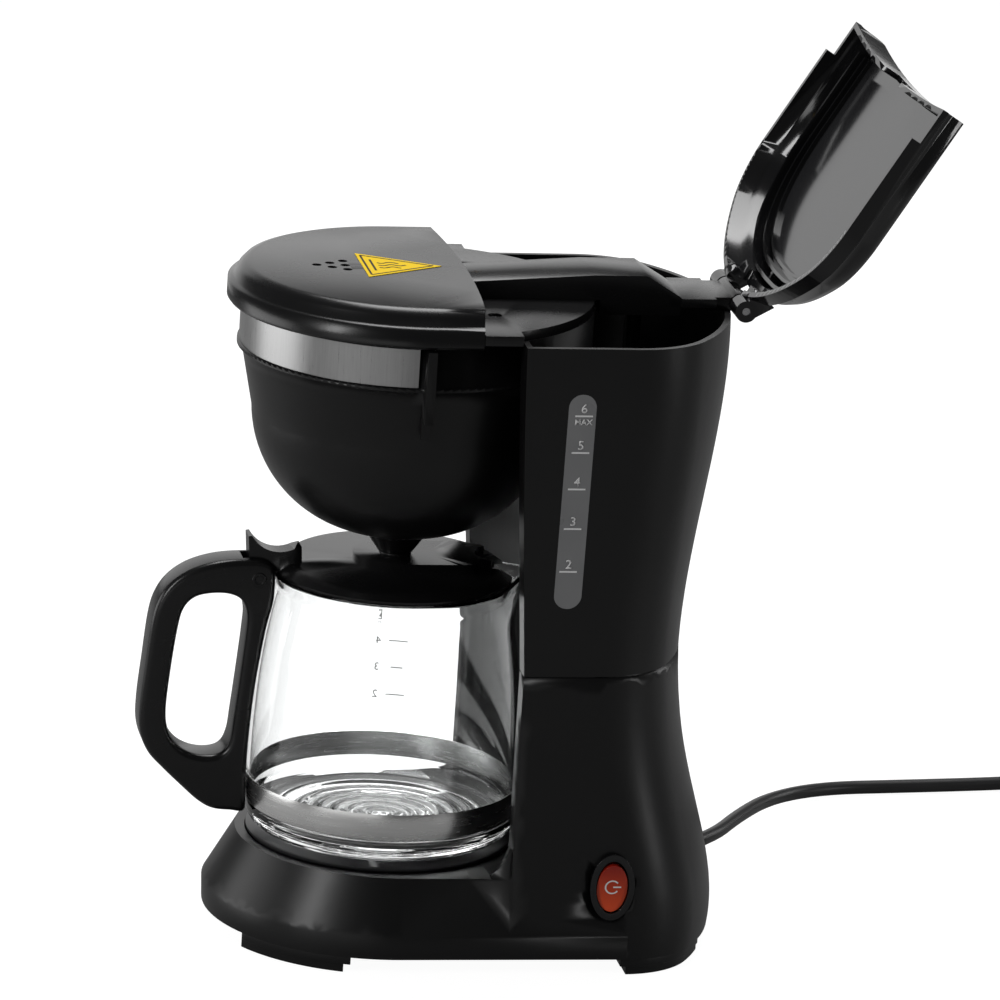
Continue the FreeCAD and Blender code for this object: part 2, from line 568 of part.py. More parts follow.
for s in (-1, 1):
    cover = cover.cut(box((s * 17.4 - 2.2, s * 17.4 + 2.2), (HEAD_END - 3, HEAD_END + 8), (HEAD_TOP - 7, HEAD_TOP - 1.4)))
VENT_R = 1.9
VENT_STEP = 6.6
for row in range(3):
    for k in range(row + 1):
        x = (k - row / 2) * VENT_STEP
        cover = cover.cut(upright(VENT_R, TANK_TOP, ABOVE, x, BREW_Y - 38.0 + row * VENT_STEP * 0.86))
save("head_cover", cover)
LABEL = ((-18.5, -50.5), (18.5, -50.5), (0.0, -18.5))
label = Part.Face(Part.makePolygon([Vector(x, y, HEAD_TOP) for x, y in LABEL + LABEL[:1]]))
save("caution_label", label.extrude(Vector(0, 0, 0.2)))

# ---- tank lid, drawn closed and then opened ----
LID_STEP = TANK_TOP + CLEAR
LID_END_GAP = 0.8        # between the head cover's end and the lid's end
lid_rings = [(0.0, LID_STEP), (0.0, LID_STEP + 6.5), (-1.8, LID_STEP + 7.2), (-2.8, LID_STEP + 8.0),
             (-4.2, LID_STEP + 13.0), (-6.2, LID_TOP - 1.0), (-9.0, LID_TOP)]


def lid_plan(d, z):
    return plan(LID_HALF + d, -40, TANK_BACK + 0.4 + d, z, CORNER_R + 1 + d, BACK_R + d)


lid = loft([lid_plan(d, z) for d, z in lid_rings], True)
hollow_top = LID_TOP - LID_WALL
lid_hollow = Part.Face(lid_plan(-LID_WALL, LID_STEP - 1)).extrude(Vector(0, 0, 7.5))
lid_hollow = lid_hollow.fuse(Part.Face(lid_plan(-7.5, LID_STEP)).extrude(Vector(0, 0, hollow_top - LID_STEP)))
keep_wall = head_end(LID_END_GAP + LID_WALL)
lid_hollow = lid_hollow.common(keep_wall)
lid = lid.common(head_end(LID_END_GAP)).cut(lid_hollow)
lid = lid.cut(box((-100, 100), (-50, EAR_BACK + 0.6), (200, EAR_TOP + CLEAR)))
lid = lid.cut(box((-BRIDGE_HALF - 1, BRIDGE_HALF + 1), (-30, 10), (200, BRIDGE_FRONT_TOP + 2.0)))
lid = lid.cut(box((-LOBE[0] + 0.6, LOBE[0] - 0.6), (TANK_BACK - 12, TANK_BACK + 8), (200, LID_PIN_Z + 5.6)))
for s in (-1, 1):
    x0 = min(s * LOBE[0], s * LOBE[1])
    lobe = rod(KNUCKLE_R, (x0, LID_PIN_Y, LID_PIN_Z), (1, 0, 0), LOBE[1] - LOBE[0])
    web = side_prism([(TANK_BACK - 6.5, LID_STEP + 1.0), (LID_PIN_Y, LID_PIN_Z - 1.5),
                      (LID_PIN_Y + 3.6, LID_PIN_Z + 2.4), (TANK_BACK - 4.5, LID_STEP + 11)],
                     (LOBE[1] - LOBE[0]) / 2, x0 + (LOBE[1] - LOBE[0]) / 2)
    lid = lid.fuse(lobe).fuse(web.cut(box((-50, 50), (-50, TANK_BACK - 6.0), (0, 400))))
lid = lid.cut(rod(LID_PIN_R, (-40, LID_PIN_Y, LID_PIN_Z), (1, 0, 0), 80))
PANEL_T = 1.0
panel_wire = plan(LID_HALF - 14, -40, TANK_BACK - 14, hollow_top - PANEL_T, CORNER_R - 12, BACK_R - 14)
panel = Part.Face(panel_wire).extrude(Vector(0, 0, PANEL_T)).common(head_end(LID_END_GAP + LID_WALL + 0.5))
lid_pin = rod(LID_PIN_R, (-LOBE[1] + 0.5, LID_PIN_Y, LID_PIN_Z), (1, 0, 0), 2 * LOBE[1] - 1.0)


def opened(shape):
    shape = shape.copy()
    shape.rotate(Vector(0, LID_PIN_Y, LID_PIN_Z), Vector(1, 0, 0), -LID_OPEN)
    return shape


save("tank_lid", opened(lid))
save("lid_panel", opened(panel))
save("lid_pin", lid_pin)

# ---- filter holder, turned about the brew axis ----
ledge = HOLDER_TOP - BAND_H
r_low = HOLDER_R - 5.5   # radius where the round bottom meets the leaning wall
z_low = HOLDER_BOTTOM + 48.0
w = HOLDER_WALL
bowl = turned([(0, HOLDER_BOTTOM), (HOLDER_FLAT_R, HOLDER_BOTTOM + 0.2),
               (r_low - 13.0, HOLDER_BOTTOM + 16.0, 0), (r_low, z_low),
               (HOLDER_R - 0.2, ledge - 1.5), (HOLDER_R + BAND_PROUD + 0.4, ledge - 1.5),
               (HOLDER_R + BAND_PROUD + 0.4, ledge), (HOLDER_R, ledge), (HOLDER_R, HOLDER_TOP),
               (HOLDER_R - w, HOLDER_TOP), (HOLDER_R - w, ledge - 2.0), (r_low - w, z_low),
               (r_low - 13.0 - w * 0.7, HOLDER_BOTTOM + 16.0 + w * 0.7, 0),
               (HOLDER_FLAT_R - 1.0, HOLDER_BOTTOM + w), (0, HOLDER_BOTTOM + w)])
VALVE_HOLE_R = 3.7
STEM_R = 3.2
bowl = bowl.cut(upright(VALVE_HOLE_R, 0, HOLDER_BOTTOM + 10))
grip_y = BREW_Y - 2.5
grip = box((HOLDER_R - 1.0, HOLDER_R + GRIP_OUT), (grip_y - GRIP_T / 2, grip_y + GRIP_T / 2),
           (HOLDER_TOP - GRIP_H, HOLDER_TOP))
grip = grip.fuse(side_prism([(grip_y - GRIP_T / 2, HOLDER_TOP - GRIP_H), (grip_y + GRIP_T / 2, HOLDER_TOP - GRIP_H),
                             (grip_y + GRIP_T / 2, HOLDER_TOP - GRIP_H - 8), (grip_y - GRIP_T / 2,
                                                                             HOLDER_TOP - GRIP_H - 8)],
                            1.2, HOLDER_R - 1.0))
lug = upright(SWING_LUG_R, BRACKET_Z[1] + CLEAR, HOLDER_TOP - 0.5, SWING_X, SWING_Y)
reach = math.hypot(SWING_X, SWING_Y - BREW_Y)
web = Part.makeBox(reach - HOLDER_R + 1.2, 5.0, HOLDER_TOP - 0.5 - ledge, Vector(0, -2.5, ledge))
web.rotate(Vector(0, 0, 0), Vector(0, 0, 1), math.degrees(math.atan2(BREW_Y - SWING_Y, -SWING_X)))
web.translate(Vector(SWING_X, SWING_Y, 0))
bowl = bowl.fuse(grip).fuse(lug).fuse(web)
bowl = bowl.cut(upright(SWING_PIN_R + RUN_FIT, 0, ABOVE, SWING_X, SWING_Y))
save("filter_holder", bowl)

band = tube(HOLDER_R + BAND_T, HOLDER_R, (0, BREW_Y, ledge + 0.1), (0, 0, 1), BAND_H - 0.6)
band = band.cut(box((-100, 100), (grip_y - GRIP_T / 2 - 2.2, 100), (0, ABOVE)))
save("holder_band", band)

BASKET_T = 1.2
basket_top = HOLDER_TOP - 2.0
basket_low = HOLDER_BOTTOM + 19.5
basket = turned([(0, basket_low), (20, basket_low), (r_low - w - 3.5, z_low + 4), (HOLDER_R - w - 2.0, basket_top - 2),
                 (HOLDER_R - w - 0.5, basket_top - 2), (HOLDER_R - w - 0.5, basket_top),
                 (HOLDER_R - w - 2.0 - BASKET_T, basket_top), (r_low - w - 3.5 - BASKET_T, z_low + 4),
                 (20 - BASKET_T, basket_low + BASKET_T), (0, basket_low + BASKET_T)])
for k in range(6):
    window = Part.makeBox(60, 17, 30, Vector(10, -8.5, basket_low + 8))
    window.rotate(Vector(0, 0, 0), Vector(0, 0, 1), 60 * k + 30)
    basket = basket.cut(window.translated(Vector(0, BREW_Y, 0)))
basket = basket.cut(upright(15.0, basket_low - 1, basket_low + 2))
save("filter_basket", basket)
MESH_T = 0.3
MESH_SET = 0.9           # mesh inside the basket's wall, across
m = BASKET_T + MESH_SET
mesh_z = basket_low + BASKET_T + 0.1
mesh = turned([(0, mesh_z), (20 - m, mesh_z), (r_low - w - 3.5 - m, z_low + 4), (r_low - w - 4.0 - m, z_low + 4),
               (20 - m - MESH_T, mesh_z + MESH_T), (0, mesh_z + MESH_T)])
save("filter_mesh", mesh)
CAGE_R = 9.0
floor_in = HOLDER_BOTTOM + w
cage_top = floor_in + 16.0
cage = tube(CAGE_R, CAGE_R - 1.2, (0, BREW_Y, floor_in), (0, 0, 1), cage_top - floor_in)
cage = cage.fuse(upright(CAGE_R, cage_top - 1.2, cage_top))
for k in range(3):
    slit = Part.makeBox(24, 5, 9, Vector(-12, -2.5, floor_in + 0.6))
    slit.rotate(Vector(0, 0, 0), Vector(0, 0, 1), 60 * k)
    cage = cage.cut(slit.translated(Vector(0, BREW_Y, 0)))
save("drip_cage", cage)
SEAL_T = 0.8
VALVE_TRAVEL = 3.0
NOSE_Z = DISH_TOP + 0.8
seal = tube(5.8, STEM_R, (0, BREW_Y, floor_in + 0.1), (0, 0, 1), SEAL_T)
save("drip_seal", seal)
disc_z = floor_in + 0.1 + SEAL_T
valve = upright(STEM_R, NOSE_Z + 1.0, disc_z + 0.5).fuse(upright(5.8, disc_z, disc_z + 1.2))
valve = valve.fuse(Part.makeCone(STEM_R - 1.0, STEM_R, 1.0, Vector(0, BREW_Y, NOSE_Z)))
valve = valve.fuse(upright(1.8, disc_z, disc_z + 4.0))
save("drip_valve", valve)
SPRING_R = 3.8
SPRING_WIRE = 0.8
spring_from = disc_z + 1.2
spring_to = cage_top - 1.2
save("drip_spring", tube(SPRING_R, SPRING_R - SPRING_WIRE, (0, BREW_Y, spring_from), (0, 0, 1),
                         spring_to - spring_from))

# ---- jug ----
strap = (STRAP_Z, STRAP_Z + STRAP_H)
jug_out = [(0, JUG_BASE + 1.6), (JUG_BASE_R - 7, JUG_BASE + 1.6), (JUG_BASE_R - 5, JUG_BASE), (JUG_BASE_R, JUG_BASE),
           (JUG_R - 1.9, JUG_BASE + 2.6, 0), (JUG_R, strap[0] - 2.5), (JUG_R, strap[1] + 2.0),
           (JUG_R - 1.6, 100.0, 0), (JUG_NECK_R + 3.4, 128.0), (JUG_NECK_R + 1.0, 138.0), (JUG_RIM_R, JUG_RIM)]
jug_in = [(0, JUG_BASE + 4.6), (JUG_BASE_R - 4, JUG_BASE + 4.6), (JUG_R - GLASS_T - 1.5, JUG_BASE + 7.4, 0),
          (JUG_R - GLASS_T, strap[0]), (JUG_R - GLASS_T, strap[1] + 2.0),
          (JUG_R - 1.6 - GLASS_T, 100.0, 0), (JUG_NECK_R + 3.4 - GLASS_T, 128.0),
          (JUG_NECK_R + 1.0 - GLASS_T, 138.0), (JUG_RIM_R - GLASS_T, JUG_RIM), (JUG_RIM_R - GLASS_T, JUG_RIM + 9),
          (0, JUG_RIM + 9)]
glass_out = turned(jug_out + [(0, JUG_RIM)])
glass_in = turned(jug_in)
SPOUT_Y = 14.0
SPOUT_R = 10.5
SPOUT_TOP = JUG_RIM + 2.5


def spout(t):
    low = Part.Wire(Part.Circle(Vector(0, SPOUT_Y - 7, 122.0), Vector(0, 0, 1), 5.5 - t).toShape())
    high_ring = Part.Wire(Part.Circle(Vector(0, SPOUT_Y - 0.5, SPOUT_TOP), Vector(0, 0, 1), SPOUT_R - t).toShape())
    return loft([low, high_ring], True)


spout_in = spout(1.6)
spout_out = spout(0.0).cut(glass_in)
glass = glass_out.fuse(spout_out).cut(glass_in).cut(spout_in)
save("jug_glass", glass)
save("jug_strap", tube(JUG_R + STRAP_T, JUG_R, (0, BREW_Y, strap[0]), (0, 0, 1), STRAP_H))

front = -HANDLE_OUT
grip_line = side_prism([
    (-78.0, 142.0), (-78.0, 150.0), (-84.0, 153.4), (-93.0, 153.2), (front + 12.3, 146.4, 0), (front + 4.0, 130.0),
    (front, 93.0), (front + 1.2, 77.0, 0), (front + 8.5, 69.5), (-108.0, 52.0), (-100.0, 48.6, 0), (-80.0, 48.0)],
    HANDLE_W / 2)
finger = side_prism([
    (-104.0, 139.5), (-91.0, 137.5, 0), (-88.6, 127.0), (-92.6, 80.0), (-94.0, 72.8, 0), (-99.5, 71.0),
    (-117.4, 74.0, 0), (-121.0, 91.0), (-117.0, 128.5), (-113.2, 137.2, 0), (-104.0, 139.5)], HANDLE_W)
handle = grip_line.cut(finger)
clear_jug = turned([(0, 30), (JUG_R + STRAP_T + 0.1, 30), (JUG_R + STRAP_T + 0.1, strap[1] + 2.0),
                    (JUG_R - 1.6 + 0.6, 100.0, 0), (JUG_NECK_R + 3.9, 128.0), (JUG_NECK_R + 1.5, 138.0),
                    (JUG_RIM_R + 0.5, JUG_RIM), (JUG_RIM_R + 0.5, 170), (0, 170)])
handle = handle.cut(clear_jug)
LUG_HALF = 4.6
slot = box((-LUG_HALF - CLEAR, LUG_HALF + CLEAR), (JUG_PIN_Y - 6.5, -60), (JUG_PIN_Z - 5.0, 170))
handle = handle.cut(slot)
handle = handle.cut(rod(JUG_PIN_R, (-20, JUG_PIN_Y, JUG_PIN_Z), (1, 0, 0), 40))
STRAP_SCREW_Z = STRAP_Z + STRAP_H / 2
handle = handle.cut(rod(1.7, (0, -130, STRAP_SCREW_Z), (0, 1, 0), 60))
handle = handle.cut(rod(3.6, (0, -130, STRAP_SCREW_Z), (0, 1, 0), 30))
save("jug_handle", handle)
wall_y = BREW_Y - JUG_R - STRAP_T
save("strap_screw", rod(1.6, (0, -100, STRAP_SCREW_Z), (0, 1, 0), wall_y - 0.05 + 100).fuse(
    rod(3.3, (0, -102.2, STRAP_SCREW_Z), (0, 1, 0), 2.2)))
save("jug_pin", rod(JUG_PIN_R, (-HANDLE_W / 2 + 0.4, JUG_PIN_Y, JUG_PIN_Z), (1, 0, 0), HANDLE_W - 0.8))

seat_z = JUG_RIM + 0.3
lid_r = JUG_RIM_R - 0.6
lid_skirt = JUG_NECK_R + 1.0 - GLASS_T - 0.6
LID_T = 1.3
jug_lid = turned([(0, LID_PLATE_Z - 2.0), (40.0, LID_PLATE_Z - 2.0), (lid_skirt - LID_T, seat_z),
                  (lid_skirt - LID_T, JUG_RIM - 1.2), (lid_skirt, JUG_RIM - 1.2), (lid_skirt, seat_z), (lid_r, seat_z),
                  (lid_r, seat_z + LID_T), (42.9, LID_PLATE_Z), (0, LID_PLATE_Z)])
ROOF_TOP = LID_PLATE_Z + 3.4
roof = upright(17.0, LID_PLATE_Z - 1, ROOF_TOP).fuse(
    box((-17, 17), (BREW_Y, BREW_Y + 30), (LID_PLATE_Z - 1, ROOF_TOP))).fuse(
    upright(17.0, LID_PLATE_Z - 1, ROOF_TOP, 0, BREW_Y + 24)).common(upright(42.0, 100, 200))
neck = upright(6.5, ROOF_TOP - 1, DISH_TOP - 1.0)
dish = turned([(0, ROOF_TOP + 1.2), (7.0, ROOF_TOP + 1.2), (DISH_R, DISH_TOP), (DISH_R - 1.4, DISH_TOP),
               (6.0, ROOF_TOP + 2.6), (0, ROOF_TOP + 2.6)])
jug_lid = jug_lid.fuse(roof).fuse(neck.common(upright(20, 0, ROOF_TOP + 2.0))).fuse(dish)
for s in (-1, 1):
    jug_lid = jug_lid.cut(upright(1.5, LID_PLATE_Z - 4, 200, s * 4.0, BREW_Y + 1.5))
ear = rod(3.8, (-LUG_HALF, JUG_PIN_Y, JUG_PIN_Z), (1, 0, 0), 2 * LUG_HALF)
lever = side_prism([(JUG_PIN_Y - 3.4, JUG_PIN_Z + 1.5), (JUG_PIN_Y - 4.6, 162.4), (JUG_PIN_Y - 3.2, 162.6),
                    (JUG_PIN_Y + 3.0, 157.0, 0), (JUG_PIN_Y + 14.0, 157.2), (JUG_PIN_Y + 17.0, 158.0),
                    (JUG_PIN_Y + 17.5, LID_PLATE_Z - 1.9), (JUG_PIN_Y + 8.0, LID_PLATE_Z - 3.5),
                    (JUG_PIN_Y + 3.4, JUG_PIN_Z)], LUG_HALF)
jug_lid = jug_lid.cut(upright(SPOUT_R + 1.0, JUG_RIM - 2.0, 200, 0, SPOUT_Y - 0.5))
jug_lid = jug_lid.fuse(ear).fuse(lever).cut(
    rod(JUG_PIN_R + RUN_FIT, (-20, JUG_PIN_Y, JUG_PIN_Z), (1, 0, 0), 40))
save("jug_lid", jug_lid)

# ---- switch ----
ROCKER_GAP = 0.9         # above and below the rocker, for its tilt
NECK_L = 9.0
neck_w = SWITCH_W - 2 * BEZEL_STEP
neck_h = SWITCH_H - 2 * BEZEL_STEP
bezel = oval(SWITCH_W, SWITCH_H, 2.4, BEZEL_SEAT, SWITCH_Y, SWITCH_Z).fuse(
    oval(neck_w, neck_h, NECK_L, BEZEL_SEAT - NECK_L, SWITCH_Y, SWITCH_Z))
bezel = bezel.cut(oval(ROCKER_W + 2 * CLEAR, ROCKER_H + 2 * ROCKER_GAP, 40, BEZEL_SEAT - 20, SWITCH_Y, SWITCH_Z))
pivot = Vector(BEZEL_SEAT - 2.0, SWITCH_Y, SWITCH_Z)
ROCKER_PIN_R = 1.0
rocker_pins = rod(ROCKER_PIN_R, (pivot.x, SWITCH_Y - neck_w / 2 + 0.2, SWITCH_Z), (0, 1, 0), neck_w - 0.4)
bezel = bezel.cut(rod(ROCKER_PIN_R + RUN_FIT, (pivot.x, SWITCH_Y - 20, SWITCH_Z), (0, 1, 0), 40))
save("switch_bezel", bezel)
ROCKER_TILT = 6.0        # degrees each way from level
ROCKER_FACE = BEZEL_SEAT + 2.6
DISH_SWEEP = 60.0        # radius of the rocker's hollow face
rocker = oval(ROCKER_W, ROCKER_H, ROCKER_FACE - BEZEL_SEAT + 6.0, BEZEL_SEAT - 6.0, SWITCH_Y, SWITCH_Z)
rocker = rocker.cut(rod(DISH_SWEEP, (ROCKER_FACE + DISH_SWEEP - 1.0, SWITCH_Y - 20, SWITCH_Z), (0, 1, 0), 40))
rocker.rotate(pivot, Vector(0, 1, 0), ROCKER_TILT)
save("rocker", rocker.fuse(rocker_pins))
SWITCH_BACK = BEZEL_SEAT - NECK_L - CLEAR
save("switch_body", box((SWITCH_BACK - 15, SWITCH_BACK), (SWITCH_Y - 6, SWITCH_Y + 6),
                        (SWITCH_Z - 10, SWITCH_Z + 10)))

# ---- inside wiring ----
save("terminal_block", box((-20, 8), (78, 88), (floor_z, floor_z + 10)))
live, wire, radii = pipe([(-6, fuse_y, 24.0), (-6, fuse_y, 16.0), (0, -44.0, 12.0), (0, 60.0, 12.0),
                          (-3, 77.5, 13.0)], 2.2)
blade_x = SWITCH_BACK - 15.0
neutral, wire, radii = pipe([(blade_x - 0.3, SWITCH_Y, SWITCH_Z - 6), (blade_x - 6, SWITCH_Y, SWITCH_Z - 8),
                             (blade_x - 10, SWITCH_Y + 6, 20.0), (24.0, 74.0, 15.0), (14.0, 82.0, 14.0),
                             (8.5, 82.0, 14.0)], 2.2)
save("wire_heater", live)
save("wire_switch", neutral)

# ---- mains cord ----
RELIEF_L = 19.5
wall_in = exit_wall - exit_dir * 6.0
relief = rod(GLAND_R - 0.1, tuple(wall_in), tuple(exit_dir), 7.5)
relief = relief.fuse(rod(GLAND_R + 1.6, tuple(exit_wall + exit_dir * 1.0), tuple(exit_dir), 1.6))
cone = Part.makeCone(GLAND_R, CORD_D / 2 + 0.7, RELIEF_L - 2.0, exit_wall + exit_dir * 2.0, exit_dir)
relief = relief.fuse(cone).cut(rod(CORD_D / 2, tuple(wall_in - exit_dir), tuple(exit_dir), RELIEF_L + 20))
save("strain_relief", relief.cut(lower))
REST = CORD_D / 2 + 0.3
route = [tuple(exit_wall - exit_dir * 5.0), (-55.4, 119.5, CORD_Z), (-92.0, 139.0, 13.0), (-138.0, 163.0, 5.5),
         (-157.0, 190.0, REST + 0.4), (-161.0, 225.0, REST), (-164.0, 260.0, REST), (-168.0, 290.0, REST),
         (-168.0, 315.0, REST)]
cord, wire, radii = pipe(route, CORD_D)
print("cord radii", [round(r) for r in radii], "length", round(wire.Length),
      "volume ratio", round(cord.Volume / (math.pi * CORD_D ** 2 / 4 * wire.Length), 4))
save("cord", cord)
COIL_R = 32.0
COIL_X = route[-1][0] + COIL_R
COIL_Y = 326.0
coil = tube(COIL_R + CORD_D, COIL_R - CORD_D, (COIL_X, COIL_Y, 0.05), (0, 0, 1), 2 * CORD_D)
save("cord_coil", coil)
PLUG_Y = 300.0           # the plug lies beside the coil, its pins towards -Y
PLUG_X = COIL_X + COIL_R + CORD_D + 10.0
PLUG_Z = 8.2
PLUG_L = 34.0
PLUG_W = 26.0
PLUG_H = 14.0
plug = loft([Part.Wire(Part.makePolygon([Vector(PLUG_X + sx * ww, y, PLUG_Z + sz * hh) for sx, sz in (
    (-1, -1), (1, -1), (1, 1), (-1, 1), (-1, -1))])) for y, ww, hh in (
        (PLUG_Y + 14, 4.2, 4.2), (PLUG_Y, PLUG_W / 2, PLUG_H / 2), (PLUG_Y - PLUG_L + 14, PLUG_W / 2, PLUG_H / 2))],
            True)
save("plug", plug)
PIN_GAP = 19.0
save("plug_pins", Part.makeCompound([
    rod(2.0, (PLUG_X + s * PIN_GAP / 2, PLUG_Y - PLUG_L + 14 - 19.0, PLUG_Z), (0, 1, 0), 19.0) for s in (-1, 1)]))

# ---- the frame's origin: under the middle of the outline, with the lid open ----
front_end = pieces["jug_handle"].optimalBoundingBox(False, False).YMin
rear_end = pieces["tank_lid"].optimalBoundingBox(False, False).YMax
middle = round((front_end + rear_end) / 2, 1)
print("middle of the outline", middle, "mm behind the drawing's origin")
for name, shape in pieces.items():
    solids = shape.translated(Vector(0, -middle, 0)).Solids
    body = solids[0] if len(solids) == 1 else Part.makeCompound(solids)
    if not solids or not body.isValid():
        raise ValueError("bad solid: " + name)
    body.exportStep("parts/" + name + ".step")
    print(name, len(solids), round(sum(s.Volume for s in solids) / 1000.0, 2), "cm3")
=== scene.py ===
import bmesh
import bpy
import json
import math

from mathutils import Matrix, Vector
from mathutils.bvhtree import BVHTree

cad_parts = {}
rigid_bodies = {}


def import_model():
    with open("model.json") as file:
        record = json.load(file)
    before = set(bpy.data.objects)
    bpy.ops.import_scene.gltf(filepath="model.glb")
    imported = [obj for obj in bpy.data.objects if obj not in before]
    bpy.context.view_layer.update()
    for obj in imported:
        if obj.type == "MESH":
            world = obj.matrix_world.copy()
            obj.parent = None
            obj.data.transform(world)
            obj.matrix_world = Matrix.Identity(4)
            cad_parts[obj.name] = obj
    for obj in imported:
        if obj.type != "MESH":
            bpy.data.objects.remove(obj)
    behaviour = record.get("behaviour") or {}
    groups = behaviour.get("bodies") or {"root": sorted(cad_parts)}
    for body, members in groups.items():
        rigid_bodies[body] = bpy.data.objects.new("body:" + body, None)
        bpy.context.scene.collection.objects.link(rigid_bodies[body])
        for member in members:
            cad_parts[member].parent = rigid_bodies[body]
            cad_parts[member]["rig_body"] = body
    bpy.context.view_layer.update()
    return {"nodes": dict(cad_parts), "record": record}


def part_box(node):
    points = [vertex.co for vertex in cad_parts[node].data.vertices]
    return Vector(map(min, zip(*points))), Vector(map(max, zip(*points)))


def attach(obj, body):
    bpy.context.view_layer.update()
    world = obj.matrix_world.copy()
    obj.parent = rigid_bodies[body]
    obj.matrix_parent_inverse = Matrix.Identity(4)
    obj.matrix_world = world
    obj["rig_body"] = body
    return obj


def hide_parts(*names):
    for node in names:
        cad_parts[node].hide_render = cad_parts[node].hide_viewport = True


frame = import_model()
nodes = frame["nodes"]
mm = 0.001
mergeGap = 0.00002       # corners of a CAD mesh closer than this are one
closeGap = 0.000002      # the same for a mesh made here
# places below are in the maker's drawing, whose zero lies this far in front of the frame's, in mm
brewY = -30.5            # upright axis shared by jug, brew head and hot plate
strapLow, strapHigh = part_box("jug_strap")
drawingY = (strapLow.y + strapHigh.y) / 2 - brewY * mm
scene = bpy.context.scene
print("frame loaded:", len(nodes), "nodes")


def mmPoint(x, y, z):
    return Vector((x * mm, y * mm + drawingY, z * mm))


# camera, floor and lights
view = {"target": (0.0, 10.9, 177.0), "right": (0.1738, 0.9833, 0.0601), "up": (-0.2804, -0.0091, 0.9600),
        "distance": 3000.0, "pixelsPerMm": 2.5}
right = Vector(view["right"]).normalized()
back = right.cross(Vector(view["up"])).normalized()
up = back.cross(right)
turn = Matrix((right, up, back)).transposed().to_4x4()
cameraData = bpy.data.cameras.new("camera")
cameraData.lens = view["pixelsPerMm"] * view["distance"] * 36.0 / 1000.0
cameraData.clip_end = 50.0
camera = bpy.data.objects.new("camera", cameraData)
camera.matrix_world = Matrix.Translation(mmPoint(*(Vector(view["target"]) + back * view["distance"]))) @ turn
scene.collection.objects.link(camera)
scene.camera = camera
scene.view_settings.view_transform = "Standard"


def softBox(name, place, aim, width, height, power):
    data = bpy.data.lights.new(name, "AREA")
    data.shape = "RECTANGLE"
    data.size = width
    data.size_y = height
    data.energy = power
    lamp = bpy.data.objects.new(name, data)
    lamp.location = place
    lamp.rotation_euler = (Vector(place) - Vector(aim)).to_track_quat("Z", "Y").to_euler()
    scene.collection.objects.link(lamp)


softBox("keyLight", (1.2, -1.9, 1.2), (0, -0.03, 0.16), 0.4, 1.1, 18)
softBox("sideLight", (0.95, 1.6, 0.35), (0, 0.03, 0.15), 0.22, 1.0, 6)
softBox("topLight", (-0.5, 0.1, 1.7), (0, 0, 0.25), 0.9, 0.9, 21)
softBox("backCard", (-1.25, -0.05, 0.5), (0, -0.02, 0.29), 1.3, 0.8, 3.0)
softBox("lowCard", (-0.25, -0.95, 0.2), (0, -0.03, 0.2), 0.7, 0.4, 2.2)
softBox("rearLight", (-0.9, 1.9, 0.8), (0, 0, 0.2), 0.5, 1.0, 6)
softBox("frontCard", (1.1, -0.8, 0.17), (0, -0.03, 0.1), 1.3, 0.30, 0.9)


class Chan:
    # one socket, so that shader maths reads as plain arithmetic
    def __init__(self, owner, socket):
        self.owner = owner
        self.socket = socket

    def maths(self, operation, *others):
        values = {0: self}
        for place, other in enumerate(others):
            values[place + 1] = other
        return self.owner.node("ShaderNodeMath", {"operation": operation}, values)

    def __add__(self, other):
        return self.maths("ADD", other)

    def __mul__(self, other):
        return self.maths("MULTIPLY", other)

    def __sub__(self, other):
        return self.maths("SUBTRACT", other)

    def __rsub__(self, other):
        return self.maths("MULTIPLY", -1.0).maths("ADD", other)

    def __truediv__(self, other):
        return self.maths("DIVIDE", other)

    __radd__ = __add__
    __rmul__ = __mul__


class Tree:
    def __init__(self, tree):
        self.tree = tree

    def node(self, kind, settings, values, out=0):
        made = self.tree.nodes.new(kind)
        for name, value in settings.items():
            if name == "stops":
                ramp = made.color_ramp
                while len(ramp.elements) < len(value):
                    ramp.elements.new(0.5)
                for element, stop in zip(ramp.elements, value):
                    element.position = stop[0]
                    element.color = stop[1]
            else:
                setattr(made, name, value)
        for name, value in values.items():
            self.join(made.inputs[name], value)
        return Chan(self, made.outputs[out])

    def join(self, socket, value):
        if isinstance(value, Chan):
            self.tree.links.new(value.socket, socket)
        else:
            socket.default_value = value


class Finish(Tree):
    def __init__(self, name, roughness=0.4, **constants):
        self.material = bpy.data.materials.new(name)
        self.material.use_nodes = True
        Tree.__init__(self, self.material.node_tree)
        self.shader = self.tree.nodes["Principled BSDF"]
        self.shader.inputs["Roughness"].default_value = roughness
        for key, value in constants.items():
            self.shader.inputs[key.replace("_", " ")].default_value = value
        self.place = self.node("ShaderNodeTexCoord", {}, {}, out=3)

    def noise(self, scale, detail=2.0, stretch=(1, 1, 1), rough=0.5):
        where = self.node("ShaderNodeMapping", {}, {"Vector": self.place, "Scale": stretch})
        return self.node("ShaderNodeTexNoise", {}, {"Vector": where, "Scale": scale, "Detail": detail,
                                                    "Roughness": rough})

    def shade(self, low, high, mask):
        return self.node("ShaderNodeMix", {"data_type": "RGBA"},
                         {0: mask, 6: low + (1.0,), 7: high + (1.0,)}, out=2)

    def bump(self, height, strength, distance):
        normal = self.node("ShaderNodeBump", {},
                           {"Height": height, "Strength": strength, "Distance": distance})
        self.join(self.shader.inputs["Normal"], normal)

    def put(self, **channels):
        for key, value in channels.items():
            self.join(self.shader.inputs[key.replace("_", " ")], value)


def mouldedPlastic(name, dark, light, roughness, spread, grain, depth, **constants):
    finish = Finish(name, roughness, **constants)
    patches = finish.noise(38.0, 3.0)
    fine = finish.noise(grain, 2.0)
    finish.put(Base_Color=finish.shade(dark, light, patches),
               Roughness=patches * spread + (roughness - spread / 2))
    finish.bump(fine, 0.35, depth)
    return finish.material


